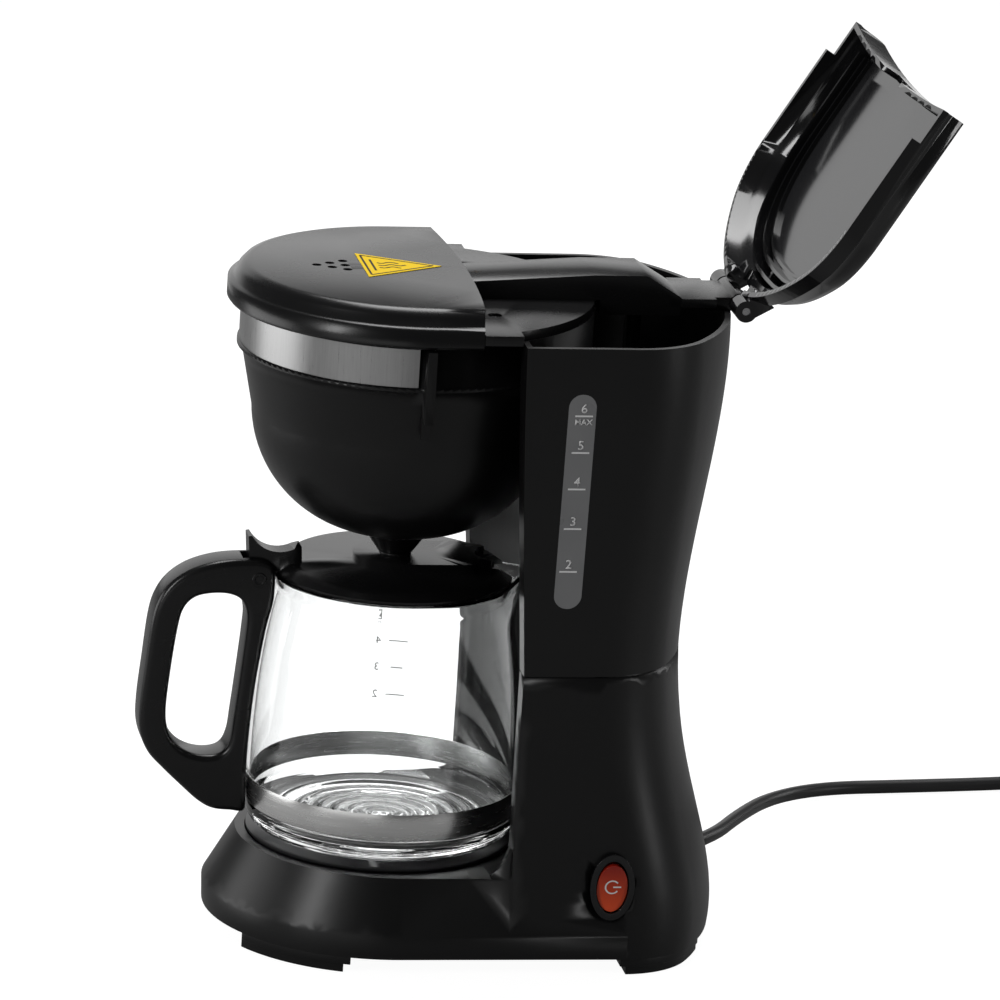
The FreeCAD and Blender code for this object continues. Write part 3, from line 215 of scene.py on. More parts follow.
def brushedMetal(name, colour, stretch, roughness):
    finish = Finish(name, roughness, Metallic=1.0)
    lines = finish.noise(60.0, 4.0, stretch, 0.65)
    darker = tuple(c * 0.72 for c in colour)
    finish.put(Base_Color=finish.shade(darker, colour, lines), Roughness=lines * 0.22 + (roughness - 0.1))
    finish.bump(lines, 0.25, 0.00004)
    return finish.material


def clearGlass():
    finish = Finish("jugGlass", 0.0, IOR=1.47)
    finish.shader.inputs["Transmission Weight"].default_value = 1.0
    haze = finish.noise(22.0, 2.0)
    finish.put(Base_Color=finish.shade((0.955, 0.965, 0.965), (0.985, 0.99, 0.99), haze))
    return finish.material


def smokedWindow():
    finish = Finish("windowPlastic", 0.3)
    cloud = finish.noise(60.0, 2.0)
    finish.put(Base_Color=finish.shade((0.20, 0.202, 0.206), (0.25, 0.252, 0.256), cloud),
               Roughness=cloud * 0.1 + 0.24)
    finish.bump(finish.noise(2200.0), 0.2, 0.00002)
    return finish.material


def litRocker():
    finish = Finish("redRocker", 0.16)
    height = finish.node("ShaderNodeSeparateXYZ", {}, {"Vector": finish.place}, out=2)
    low = (height - 0.029) / 0.018
    glow = finish.node("ShaderNodeMath", {"operation": "SMOOTH_MIN"}, {0: low, 1: 1.0, 2: 0.2})
    finish.put(Base_Color=finish.shade((0.80, 0.085, 0.02), (0.30, 0.012, 0.006), glow))
    finish.bump(finish.noise(300.0), 0.1, 0.00003)
    return finish.material


def printedInk(name, colour, worn):
    finish = Finish(name, 0.6, Specular_IOR_Level=0.12)
    finish.put(Base_Color=finish.shade(worn, colour, finish.noise(500.0, 3.0)))
    return finish.material


finishes = {
    "black": mouldedPlastic("mouldedBlack", (0.0040, 0.0040, 0.0042), (0.0060, 0.0060, 0.0063), 0.34, 0.06,
                            2600.0, 0.00003, Specular_IOR_Level=0.36),
    "satin": mouldedPlastic("satinBlack", (0.0045, 0.0045, 0.0048), (0.0070, 0.0070, 0.0074), 0.27, 0.05,
                            1800.0, 0.00002, Specular_IOR_Level=0.42),
    "gloss": mouldedPlastic("glossBlack", (0.005, 0.005, 0.0055), (0.0075, 0.0075, 0.008), 0.13, 0.03, 900.0,
                            0.00001),
    "panel": mouldedPlastic("panelBlack", (0.012, 0.012, 0.013), (0.016, 0.016, 0.017), 0.10, 0.03, 700.0,
                            0.00001),
    "rubber": mouldedPlastic("cordRubber", (0.010, 0.010, 0.0105), (0.016, 0.016, 0.017), 0.42, 0.08, 1500.0,
                             0.00003),
    "white": mouldedPlastic("whitePlastic", (0.68, 0.68, 0.66), (0.76, 0.76, 0.74), 0.4, 0.06, 1500.0,
                            0.00002),
    "silicone": mouldedPlastic("siliconeHose", (0.50, 0.50, 0.47), (0.62, 0.62, 0.58), 0.5, 0.1, 900.0,
                               0.00004),
    "enamel": mouldedPlastic("plateCoating", (0.018, 0.018, 0.019), (0.030, 0.030, 0.032), 0.36, 0.12, 700.0,
                             0.00005),
    "blue": mouldedPlastic("wireBlue", (0.02, 0.08, 0.40), (0.03, 0.11, 0.52), 0.4, 0.05, 900.0, 0.00002),
    "brown": mouldedPlastic("wireBrown", (0.12, 0.045, 0.015), (0.18, 0.07, 0.02), 0.4, 0.05, 900.0, 0.00002),
    "weave": mouldedPlastic("filterMesh", (0.35, 0.34, 0.28), (0.55, 0.53, 0.45), 0.6, 0.1, 3000.0, 0.0001),
    "band": brushedMetal("bandSteel", (0.44, 0.44, 0.44), (22.0, 22.0, 1.0), 0.30),
    "strap": brushedMetal("strapSteel", (0.95, 0.95, 0.94), (1.0, 1.0, 12.0), 0.24),
    "steel": brushedMetal("screwSteel", (0.62, 0.62, 0.63), (3.0, 3.0, 3.0), 0.26),
    "alloy": brushedMetal("castAlloy", (0.66, 0.67, 0.69), (2.0, 2.0, 2.0), 0.42),
    "pins": brushedMetal("platedPins", (0.78, 0.77, 0.73), (4.0, 4.0, 1.0), 0.2),
    "glass": clearGlass(),
    "window": smokedWindow(),
    "rocker": litRocker(),
    "ink": printedInk("whiteInk", (0.95, 0.95, 0.95), (0.82, 0.82, 0.82)),
    "greyInk": printedInk("greyInk", (0.30, 0.30, 0.30), (0.40, 0.40, 0.40)),
    "darkInk": printedInk("darkInk", (0.03, 0.025, 0.02), (0.05, 0.04, 0.03)),
    "yellow": printedInk("labelYellow", (0.92, 0.64, 0.008), (0.86, 0.57, 0.008)),
}
slotFinish = {"black_plastic": "black", "gloss_black": "gloss", "feet": "black", "steel": "steel",
              "hot_plate": "enamel", "aluminium": "alloy", "silicone": "silicone", "white_plastic": "white",
              "window": "window", "label": "yellow", "wire_blue": "blue", "wire_brown": "brown",
              "cord_rubber": "rubber", "plated_brass": "pins", "brushed_steel": "band", "mesh": "weave",
              "basket": "satin", "glass": "glass", "red_rocker": "rocker"}
nodeSlot = {part["node"]: part["material_slot"] for part in frame["record"]["subparts"]}
nodeFinish = {"jug_strap": "strap", "head_cover": "satin", "head_frame": "satin", "bridge_cover": "satin",
              "jug_lid": "satin", "jug_handle": "satin", "lid_panel": "panel", "caution_label": "yellow"}


def finishOf(name):
    return nodeFinish.get(name, slotFinish[nodeSlot[name]])


for name, thing in nodes.items():
    thing.data.materials.clear()
    thing.data.materials.append(finishes[finishOf(name)])
print("finishes made:", len(finishes))

# floor and surroundings: white to the eye and through the glass, dim to the surfaces
dimSky = 0.07
floorSizes = {"reach": 6.0, "white": 0.96, "gloss": 0.10, "base": 0.16}
world = bpy.data.worlds.new("studio")
world.use_nodes = True
scene.world = world
sky = Tree(world.node_tree)
paths = world.node_tree.nodes.new("ShaderNodeLightPath")
seen = Chan(sky, paths.outputs["Is Camera Ray"]).maths(
    "MAXIMUM", Chan(sky, paths.outputs["Is Transmission Ray"]))
sky.join(world.node_tree.nodes["Background"].inputs["Color"], (1, 1, 1, 1))
sky.join(world.node_tree.nodes["Background"].inputs["Strength"], seen * (1 - dimSky) + dimSky)
floorMesh = bpy.data.meshes.new("floor")
reach = floorSizes["reach"]
floorMesh.from_pydata([(-reach, -reach, 0), (reach, -reach, 0), (reach, reach, 0), (-reach, reach, 0)], [],
                      [(0, 1, 2, 3)])
floor = bpy.data.objects.new("floor", floorMesh)
scene.collection.objects.link(floor)
floorPaint = Finish("floorPaint", 0.7)
floorPaths = floorPaint.tree.nodes.new("ShaderNodeLightPath")
floorSeen = Chan(floorPaint, floorPaths.outputs["Is Camera Ray"]).maths(
    "MAXIMUM", Chan(floorPaint, floorPaths.outputs["Is Transmission Ray"]))
floorPaint.put(Base_Color=(floorSizes["base"],) * 3 + (1,), Emission_Color=(1, 1, 1, 1))
floorGloss = Chan(floorPaint, floorPaths.outputs["Is Glossy Ray"])
floorPaint.join(floorPaint.shader.inputs["Emission Strength"],
                floorSeen * floorSizes["white"] + floorGloss * floorSizes["gloss"])
floorMesh.materials.append(floorPaint.material)


def newPiece(name, mesh, body, finish, replaced=()):
    thing = bpy.data.objects.new(name, mesh)
    scene.collection.objects.link(thing)
    if finish:
        mesh.materials.clear()
        mesh.materials.append(finishes[finish])
    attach(thing, body)
    if replaced:
        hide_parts(*replaced)
    return thing


def finished(thing):
    # the evaluated shape as a plain mesh, modifiers gone
    bpy.context.view_layer.update()
    graph = bpy.context.evaluated_depsgraph_get()
    return bpy.data.meshes.new_from_object(thing.evaluated_get(graph))


def hardEdges(mesh, degrees=32.0):
    mesh.shade_smooth()
    mesh.set_sharp_from_angle(angle=math.radians(degrees))


roundSizes = {"segments": 3, "angle": 32.0, "crease": 40.0, "flat": 0.6}


def softened(name, width):
    # a copy of a CAD node with its edges rounded
    source = nodes[name]
    mesh = source.data.copy()
    work = bmesh.new()
    work.from_mesh(mesh)
    bmesh.ops.remove_doubles(work, verts=work.verts, dist=mergeGap)
    bmesh.ops.dissolve_limit(work, angle_limit=math.radians(roundSizes["flat"]), verts=work.verts,
                             edges=work.edges)
    work.to_mesh(mesh)
    work.free()
    maker = bpy.data.objects.new(name + "Maker", mesh)
    scene.collection.objects.link(maker)
    bevel = maker.modifiers.new("round", "BEVEL")
    bevel.width = width * mm
    bevel.segments = roundSizes["segments"]
    bevel.limit_method = "ANGLE"
    bevel.angle_limit = math.radians(roundSizes["angle"])
    bevel.use_clamp_overlap = True
    bevel.harden_normals = False
    smooth = finished(maker)
    bpy.data.objects.remove(maker)
    hardEdges(smooth, roundSizes["crease"])
    return newPiece(name + "Round", smooth, source["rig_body"], finishOf(name), (name,))


def smoothed(name, degrees=28.0):
    # a merged copy of a CAD node whose curved faces are shaded as one
    mesh = nodes[name].data.copy()
    work = bmesh.new()
    work.from_mesh(mesh)
    bmesh.ops.remove_doubles(work, verts=work.verts, dist=mergeGap)
    work.to_mesh(mesh)
    work.free()
    hardEdges(mesh, degrees)
    return newPiece(name + "Smooth", mesh, nodes[name]["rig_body"], finishOf(name), (name,))


for name, width in {"head_frame": 0.6, "bridge_cover": 0.8, "switch_bezel": 0.7, "rocker": 0.6,
                    "foot_front_left": 0.8, "foot_front_right": 0.8, "foot_rear_left": 0.8,
                    "foot_rear_right": 0.8, "base_plate": 0.4}.items():
    softened(name, width)
smoothed("lower_housing", 33.0)
for name in ("upper_housing", "head_cover", "jug_lid", "filter_holder", "tank_lid", "water_window",
             "filter_basket", "hot_plate"):
    smoothed(name)
print("edges rounded")

# mains cord: the route of the tube, then the coil put away behind the machine
cordSizes = {"diameter": 5.8, "turns": 3, "perTurn": 14, "coilRadius": 32.0, "lie": 3.2}
lie = cordSizes["lie"]
exitPoint = (-38.0, 97.5, 15.5)
cordRoute = [exitPoint, (-55.4, 119.5, 15.5), (-92.0, 139.0, 13.0), (-138.0, 163.0, 5.5),
             (-157.0, 190.0, lie + 0.4), (-161.0, 225.0, lie), (-164.0, 260.0, lie), (-168.0, 290.0, lie),
             (-168.0, 315.0, lie)]
coilCentre = (-136.0, 326.0)
for k in range(3, cordSizes["turns"] * cordSizes["perTurn"]):
    angle = math.pi - 2 * math.pi * k / cordSizes["perTurn"]
    layer = k / cordSizes["perTurn"]
    wide = cordSizes["coilRadius"] + (0.0, -2.6, 2.2, 0.0)[int(layer)] + 0.9 * math.sin(1.7 * k)
    height = lie + min(1.0, max(0.0, layer - 0.75)) * 3.6
    cordRoute.append((coilCentre[0] + wide * math.cos(angle), coilCentre[1] + wide * math.sin(angle), height))
cordCurve = bpy.data.curves.new("mainsCord", "CURVE")
cordCurve.dimensions = "3D"
line = cordCurve.splines.new("NURBS")
line.points.add(len(cordRoute) - 1)
for point, place in zip(line.points, cordRoute):
    point.co = tuple(mmPoint(*place)) + (1.0,)
line.order_u = 3
line.use_endpoint_u = True
line.resolution_u = 6
cordCurve.bevel_depth = cordSizes["diameter"] * mm / 2
cordCurve.bevel_resolution = 5
cordCurve.use_fill_caps = True
cordCurve.materials.append(finishes["rubber"])
mainsCord = bpy.data.objects.new("mainsCord", cordCurve)
scene.collection.objects.link(mainsCord)
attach(mainsCord, "machine")
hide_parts("cord", "cord_coil")
tuple(mmPoint(*exitPoint))
print("cord laid")


def lathe(name, profile, steps, centre, shape=None):
    # (radius, height) profile turned about an upright axis, single points at radius 0;
    # a ring's profile ends where it starts, and its two last rows are merged
    verts = []
    faces = []
    rows = []
    for radius, height in profile:
        if radius < 0.01:
            rows.append([len(verts)])
            verts.append((centre[0], centre[1], height))
            continue
        row = []
        for k in range(steps):
            angle = 2 * math.pi * k / steps
            r, z = shape(radius, height, angle) if shape else (radius, height)
            row.append(len(verts))
            verts.append((centre[0] + r * math.cos(angle), centre[1] + r * math.sin(angle), z))
        rows.append(row)
    for low, high in zip(rows, rows[1:]):
        for k in range(steps):
            n = (k + 1) % steps
            if len(low) == 1:
                faces.append((low[0], high[k], high[n]))
            elif len(high) == 1:
                faces.append((low[k], low[n], high[0])[::-1])
            else:
                faces.append((low[k], high[k], high[n], low[n]))
    mesh = bpy.data.meshes.new(name)
    mesh.from_pydata([tuple(mmPoint(*v)) for v in verts], [], faces)
    work = bmesh.new()
    work.from_mesh(mesh)
    bmesh.ops.remove_doubles(work, verts=work.verts, dist=closeGap)
    bmesh.ops.recalc_face_normals(work, faces=work.faces)
    work.to_mesh(mesh)
    work.free()
    return mesh


def curveThrough(points, steps):
    # Catmull-Rom points through a profile
    found = []
    ends = [points[0]] + list(points) + [points[-1]]
    for a, b, c, d in zip(ends, ends[1:], ends[2:], ends[3:]):
        for k in range(steps):
            t = k / steps
            found.append(tuple(0.5 * (2 * q + (r - p) * t + (2 * p - 5 * q + 4 * r - s) * t * t
                                      + (3 * q - p - 3 * r + s) * t ** 3) for p, q, r, s in zip(a, b, c, d)))
    return found + [points[-1]]


# jug glass: thick ringed base, waist, neck, rim bead and the pouring lip at the back
jugSizes = {"steps": 128, "lipOut": 6.0, "lipUp": 2.4, "lipWidth": 0.24, "lipFrom": 124.0, "rim": 146.5}


def pouringLip(radius, height, angle):
    away = math.atan2(math.sin(angle - math.pi / 2), math.cos(angle - math.pi / 2))
    rise = max(0.0, min(1.0, (height - jugSizes["lipFrom"]) / (jugSizes["rim"] - jugSizes["lipFrom"])))
    pull = math.exp(-(away / jugSizes["lipWidth"]) ** 2) * rise * rise * (3 - 2 * rise)
    return radius + jugSizes["lipOut"] * pull, height + jugSizes["lipUp"] * pull


outside = curveThrough([(53.2, 44.0), (54.6, 47.0), (54.9, 51.0), (54.9, 63.0), (54.8, 72.0), (54.3, 85.0),
                        (53.3, 100.0), (51.6, 115.0), (49.5, 128.0), (47.4, 137.5), (46.9, 141.0), (48.2, 145.8)], 6)
inside = curveThrough([(46.3, 145.8), (44.9, 141.0), (45.4, 137.5), (47.5, 128.0), (49.6, 115.0), (51.3, 100.0),
                       (52.3, 85.0), (52.8, 72.0), (52.9, 63.0), (52.9, 54.0), (51.2, 49.4), (46.5, 46.6)], 6)
underside = [(0.0, 43.4)] + [(r, 43.4 - 0.7 * math.sin(r * 0.62) ** 2) for r in range(2, 38, 1)] + [
    (40.5, 42.6), (42.2, 41.2), (44.0, 40.7), (47.0, 40.7), (49.6, 41.4), (51.8, 42.6)]
floorLine = [(r, 46.0 + 0.8 * math.sin(r * 0.45 + 0.4) ** 2) for r in range(42, 1, -1)] + [(0.0, 46.2)]
glassProfile = underside + outside + [(48.0, 146.3), (47.2, 146.6), (46.5, 146.3)] + inside + floorLine
jugGlass = lathe("jugGlassBlown", glassProfile, jugSizes["steps"], (0, brewY), pouringLip)
hardEdges(jugGlass, 60.0)
newPiece("jugGlassBlown", jugGlass, "jug", "glass", ("jug_glass",))
print("jug blown")


# jug handle: one moulded grip, rounded all along, with a slot for the lid's lug
handleSizes = {"half": 8.5, "round": 2.6, "slotHalf": 5.0, "grip": [
    (-79.2, 141.5), (-79.6, 149.6), (-84.0, 153.0), (-93.0, 153.4), (-104.0, 152.2), (-114.0, 148.8),
    (-121.5, 143.2), (-126.0, 136.0), (-128.2, 127.0), (-129.8, 110.0), (-131.2, 93.0), (-130.8, 82.0),
    (-127.2, 73.0), (-120.6, 65.8), (-113.0, 58.6), (-106.0, 52.4), (-100.0, 49.2), (-93.0, 48.4), (-86.9, 48.6),
    (-86.9, 58.0), (-86.8, 72.0), (-86.2, 86.0), (-85.0, 101.0), (-83.4, 114.0), (-81.6, 126.0), (-79.6, 135.0)],
    "fingers": [
    (-104.0, 139.2), (-97.0, 138.8), (-92.2, 136.2), (-90.0, 130.5), (-90.2, 122.0), (-91.6, 105.0),
    (-93.2, 88.0), (-94.2, 79.0), (-96.6, 73.6), (-101.5, 71.6), (-108.5, 72.2), (-115.0, 75.6), (-119.3, 82.0),
    (-120.6, 91.0), (-119.4, 108.0), (-117.4, 125.0), (-115.4, 133.0), (-111.0, 137.6)]}


def closedCurve(points, steps):
    found = []
    count = len(points)
    for k in range(count):
        four = [points[(k + n) % count] for n in (-1, 0, 1, 2)]
        for n in range(steps):
            t = n / steps
            found.append(tuple(0.5 * (2 * q + (r - p) * t + (2 * p - 5 * q + 4 * r - w) * t * t
                                      + (3 * q - p - 3 * r + w) * t ** 3) for p, q, r, w in zip(*four)))
    return found


def mouldedGrip():
    outline = bpy.data.curves.new("handle", "CURVE")
    outline.dimensions = "2D"
    outline.fill_mode = "BOTH"
    for ring in (handleSizes["grip"], handleSizes["fingers"]):
        points = closedCurve(ring, 5)
        edge = outline.splines.new("POLY")
        edge.points.add(len(points) - 1)
        for point, (y, z) in zip(edge.points, points):
            point.co = (y * mm, z * mm, 0, 1)
        edge.use_cyclic_u = True
    outline.extrude = (handleSizes["half"] - handleSizes["round"]) * mm
    outline.bevel_depth = handleSizes["round"] * mm
    outline.bevel_resolution = 4
    outline.offset = -handleSizes["round"] * mm
    holder = bpy.data.objects.new("handleOutline", outline)
    scene.collection.objects.link(holder)
    mesh = finished(holder)
    bpy.data.objects.remove(holder)
    mesh.transform(Matrix(((0, 0, 1, 0), (1, 0, 0, drawingY), (0, 1, 0, 0), (0, 0, 0, 1))))
    work = bmesh.new()
    work.from_mesh(mesh)
    bmesh.ops.remove_doubles(work, verts=work.verts, dist=0.00001)
    bmesh.ops.recalc_face_normals(work, faces=work.faces)
    work.to_mesh(mesh)
    work.free()
    grip = bpy.data.objects.new("grip", mesh)
    scene.collection.objects.link(grip)
    cutter = bpy.data.meshes.new("slot")
    block = bmesh.new()
    bmesh.ops.create_cube(block, size=1.0)
    w = handleSizes["slotHalf"] * 2 * mm
    bmesh.ops.transform(block, verts=block.verts, matrix=Matrix.Translation(mmPoint(0, -77.0, 150.0))
                        @ Matrix.Diagonal((w, 31 * mm, 18 * mm, 1)))
    block.to_mesh(cutter)
    block.free()
    knife = bpy.data.objects.new("knife", cutter)
    scene.collection.objects.link(knife)
    cut = grip.modifiers.new("slot", "BOOLEAN")
    cut.object = knife
    cut.solver = "EXACT"
    made = finished(grip)
    bpy.data.objects.remove(grip)
    bpy.data.objects.remove(knife)
    hardEdges(made, 50.0)
    return made


newPiece("jugHandleGrip", mouldedGrip(), "jug", "satin", ("jug_handle",))
print("handle moulded")


def laidOn(mesh, base, direction, lift):
    # push a flat mesh onto a piece along a direction, and leave it just proud of the surface
    graph = bpy.context.evaluated_depsgraph_get()
    tree = BVHTree.FromObject(base, graph)
    step = Vector(direction).normalized()
    for vert in mesh.vertices:
        hit = tree.ray_cast(vert.co - step * 0.04, step, 0.1)
        if hit[0] is not None:
            vert.co = hit[0] - step * lift * mm
    return mesh


def words(name, text, size, weight=0.0):
    # flat lettering as a mesh, centred on its own zero
    font = bpy.data.curves.new(name, "FONT")
    font.body = text
    font.size = size * mm
    font.align_x = "CENTER"
    font.align_y = "CENTER"
    font.offset = weight * mm
    holder = bpy.data.objects.new(name, font)
    scene.collection.objects.link(holder)
    mesh = finished(holder)
    bpy.data.objects.remove(holder)
    return mesh


def bar(width, height):
    mesh = bpy.data.meshes.new("bar")
    w, h = width * mm / 2, height * mm / 2
    columns = 6
    verts = [(-w + 2 * w * k / columns, y, 0) for k in range(columns + 1) for y in (-h, h)]
    faces = [(2 * k, 2 * k + 2, 2 * k + 3, 2 * k + 1) for k in range(columns)]
    mesh.from_pydata(verts, [], faces)
    return mesh


def joined(name, parts):
    # parts: (mesh, matrix) pairs made one mesh
    work = bmesh.new()
    for mesh, matrix in parts:
        start = len(work.verts)
        work.from_mesh(mesh)
        work.verts.ensure_lookup_table()
        bmesh.ops.transform(work, matrix=matrix, verts=work.verts[start:])
    mesh = bpy.data.meshes.new(name)
    work.to_mesh(mesh)
    work.free()
    return mesh


def facing(across, upward, place):
    # matrix that stands flat lettering on a surface: its x along across, its y along upward
    x = Vector(across).normalized()
    y = Vector(upward).normalized()
    z = x.cross(y)
    return Matrix.Translation(place) @ Matrix((x, y, z)).transposed().to_4x4()


def thickened(mesh, direction, depth):
    # a flat print gets a thin body, so that it is a closed solid
    work = bmesh.new()
    work.from_mesh(mesh)
    bmesh.ops.remove_doubles(work, verts=work.verts, dist=closeGap)
    found = bmesh.ops.extrude_face_region(work, geom=work.faces[:])
    moved = [g for g in found["geom"] if isinstance(g, bmesh.types.BMVert)]
    bmesh.ops.translate(work, verts=moved, vec=Vector(direction).normalized() * depth * mm)
    bmesh.ops.recalc_face_normals(work, faces=work.faces)
    work.to_mesh(mesh)
    work.free()
    return mesh


pieceOf = {o.name: o for o in bpy.data.objects}
windowMarks = {"levels": {"6": 232.7, "5": 217.6, "4": 202.5, "3": 186.0, "2": 168.1}, "barWidth": 7.0,
               "barHeight": 0.7, "figure": 5.2, "small": 3.3}
parts = []
for figure, level in windowMarks["levels"].items():
    middle = 27.0 + (level - 200.0) * 0.022
    parts.append((bar(windowMarks["barWidth"], windowMarks["barHeight"]),
                  facing((0, 1, 0), (0, 0, 1), mmPoint(85, middle, level))))
    parts.append((words("figure", figure, windowMarks["figure"], 0.05),
                  facing((0, 1, 0), (0, 0, 1), mmPoint(85, middle, level + 2.9))))
parts.append((words("top", "MAX", windowMarks["small"], 0.06),
              facing((0, 1, 0), (0, 0, 1), mmPoint(85, 27.7, windowMarks["levels"]["6"] - 2.6))))
marks = laidOn(joined("windowMarks", parts), pieceOf["water_windowSmooth"], (-1, 0, 0), 0.12)
newPiece("windowMarks", thickened(marks, (1, 0, 0), 0.05), "machine", "ink")

jugMarks = {"levels": {"2": 78.4, "3": 90.2, "4": 101.8, "5": 112.6}, "long": 7.6, "short": 4.8, "barHeight": 0.4,
            "figure": 4.6}
parts = []
for place, (figure, level) in enumerate(jugMarks["levels"].items()):
    wide = jugMarks["long"] if place % 2 == 0 else jugMarks["short"]
    parts.append((bar(wide, jugMarks["barHeight"]),
                  facing((0, -1, 0), (0, 0, 1), mmPoint(-70, -17.5, level))))
    parts.append((words("figure", figure, jugMarks["figure"]),
                  facing((0, -1, 0), (0, 0, 1), mmPoint(-70, -25.8, level))))
marks = laidOn(joined("jugMarks", parts), pieceOf["jugGlassBlown"], (1, 0, 0), 0.08)
newPiece("jugMarks", thickened(marks, (-1, 0, 0), 0.06), "jug", "greyInk")

# caution triangle: dark border, and wavy lines of rising heat over a plain bar
labelSizes = {"baseY": -50.5, "tipY": -18.5, "half": 18.5, "height": 273.2, "border": 0.8, "inset": 1.6}


def ribbon(points, width):
    # flat strip along points in the plane of the label
    verts = []
    for k, point in enumerate(points):
        ahead = Vector(points[min(k + 1, len(points) - 1)]) - Vector(points[max(k - 1, 0)])
        side = Vector((-ahead.y, ahead.x)).normalized() * width / 2
        verts += [Vector(point) + side, Vector(point) - side]
    mesh = bpy.data.meshes.new("ribbon")
    mesh.from_pydata([(v.x, v.y, 0) for v in verts], [],
                     [(2 * k, 2 * k + 1, 2 * k + 3, 2 * k + 2) for k in range(len(points) - 1)])
    return mesh


def labelPrint():
    parts = []
    flat = Matrix.Diagonal((mm, mm, mm, 1))
    drop = Matrix.Translation(mmPoint(0, 0, labelSizes["height"] + 0.02)) @ flat
    inset, half = labelSizes["inset"], labelSizes["half"]
    low, high = labelSizes["baseY"] + inset, labelSizes["tipY"] - 2.2 * inset
    side = half - 2.0 * inset
    corners = [(-side, low), (side, low), (0.0, high)]
    for a, b in zip(corners, corners[1:] + corners[:1]):
        parts.append((ribbon([a, b], labelSizes["border"]), drop))
    for k in (-1, 0, 1):
        wave = [(k * 3.6 + 0.9 * math.sin(t * 0.9), low + 5.0 + t) for t in [0.5 * n for n in range(23)]]
        parts.append((ribbon(wave[:23 - 5 * abs(k)], 0.8), drop))
    parts.append((ribbon([(-8.5, low + 2.8), (8.5, low + 2.8)], 0.9), drop))
    return joined("labelPrint", parts)


newPiece("labelPrint", thickened(labelPrint(), (0, 0, 1), 0.05), "machine", "darkInk")

# power sign on the rocker, lying on its side
signSizes = {"radius": 2.7, "line": 0.6, "gap": 38.0, "barFrom": 0.4, "barTo": 3.6}
ring = [(signSizes["radius"] * math.cos(a), signSizes["radius"] * math.sin(a)) for a in
        [math.radians(signSizes["gap"] + k * (360 - 2 * signSizes["gap"]) / 40) for k in range(41)]]
parts = [(ribbon(ring, signSizes["line"]), Matrix.Diagonal((mm, mm, mm, 1))),
         (ribbon([(signSizes["barFrom"], 0), (signSizes["barTo"], 0)], signSizes["line"]),
          Matrix.Diagonal((mm, mm, mm, 1)))]
sign = joined("powerSign", parts)
sign.transform(facing((0, 1, 0), (0, 0, 1), mmPoint(85, 52.4, 37.6)))
laidOn(sign, pieceOf["rockerRound"], (-1, 0, 0), 0.03)
newPiece("powerSign", thickened(sign, (1, 0, 0), 0.06), "rocker", "ink")
print("marks printed")

# steel strap, crowned a little, with rolled edges
strapSizes = {"low": 52.0, "high": 62.5, "inner": 55.02, "outer": 55.7, "crown": 0.45, "roll": 0.1, "rows": 12,
              "steps": 160, "crease": 35.0}
strapRing = [(strapSizes["inner"], strapSizes["low"] + strapSizes["roll"])]
for k in range(strapSizes["rows"] + 1):
    across = k / strapSizes["rows"]
    strapRing.append((strapSizes["outer"] - strapSizes["crown"] * abs(2 * across - 1) ** 2.4,
                      strapSizes["low"] + across * (strapSizes["high"] - strapSizes["low"])))
strapRing += [(strapSizes["inner"], strapSizes["high"] - strapSizes["roll"]), strapRing[0]]
strap = lathe("jugStrapRolled", strapRing, strapSizes["steps"], (0, brewY))
hardEdges(strap, strapSizes["crease"])
newPiece("jugStrapRolled", strap, "jug", "strap", ("jug_strap",))

# recessed end of the lid's hinge pin, showing in the handle's side
pinEnd = {"y": -86.0, "z": 145.4, "outer": 3.0, "inner": 1.6, "proud": 0.35, "side": 8.5}
inner, outer, proud = pinEnd["inner"], pinEnd["outer"], pinEnd["proud"]
ring = lathe("lidPinEnd", [(0.0, 0.02), (inner, 0.02), (inner + 0.3, proud), (outer - 0.3, proud), (outer, 0.0),
                           (outer, -0.6), (0.0, -0.6)], 40, (0, 0))
ring.transform(Matrix.Translation(mmPoint(pinEnd["side"], pinEnd["y"], pinEnd["z"]))
               @ Matrix.Rotation(math.radians(90), 4, "Y") @ Matrix.Translation(-mmPoint(0, 0, 0)))
hardEdges(ring, 30.0)
newPiece("lidPinEnd", ring, "jug", "satin")

# small moulded cross on the bridge
crossSizes = {"y": -4.5, "arm": 2.0, "line": 0.7, "above": 290.0}
arm, crossY = crossSizes["arm"], crossSizes["y"]
overhead = Matrix.Translation(mmPoint(0, 0, crossSizes["above"])) @ Matrix.Diagonal((mm, mm, mm, 1))
cross = joined("bridgeCross", [(ribbon(points, crossSizes["line"]), overhead) for points in
                               ([(-arm, crossY), (arm, crossY)], [(0.0, crossY - arm), (0.0, crossY + arm)])])
laidOn(cross, pieceOf["bridge_coverRound"], (0, 0, -1), 0.02)
newPiece("bridgeCross", thickened(cross, (0, 0, 1), 0.05), "machine", "darkInk")


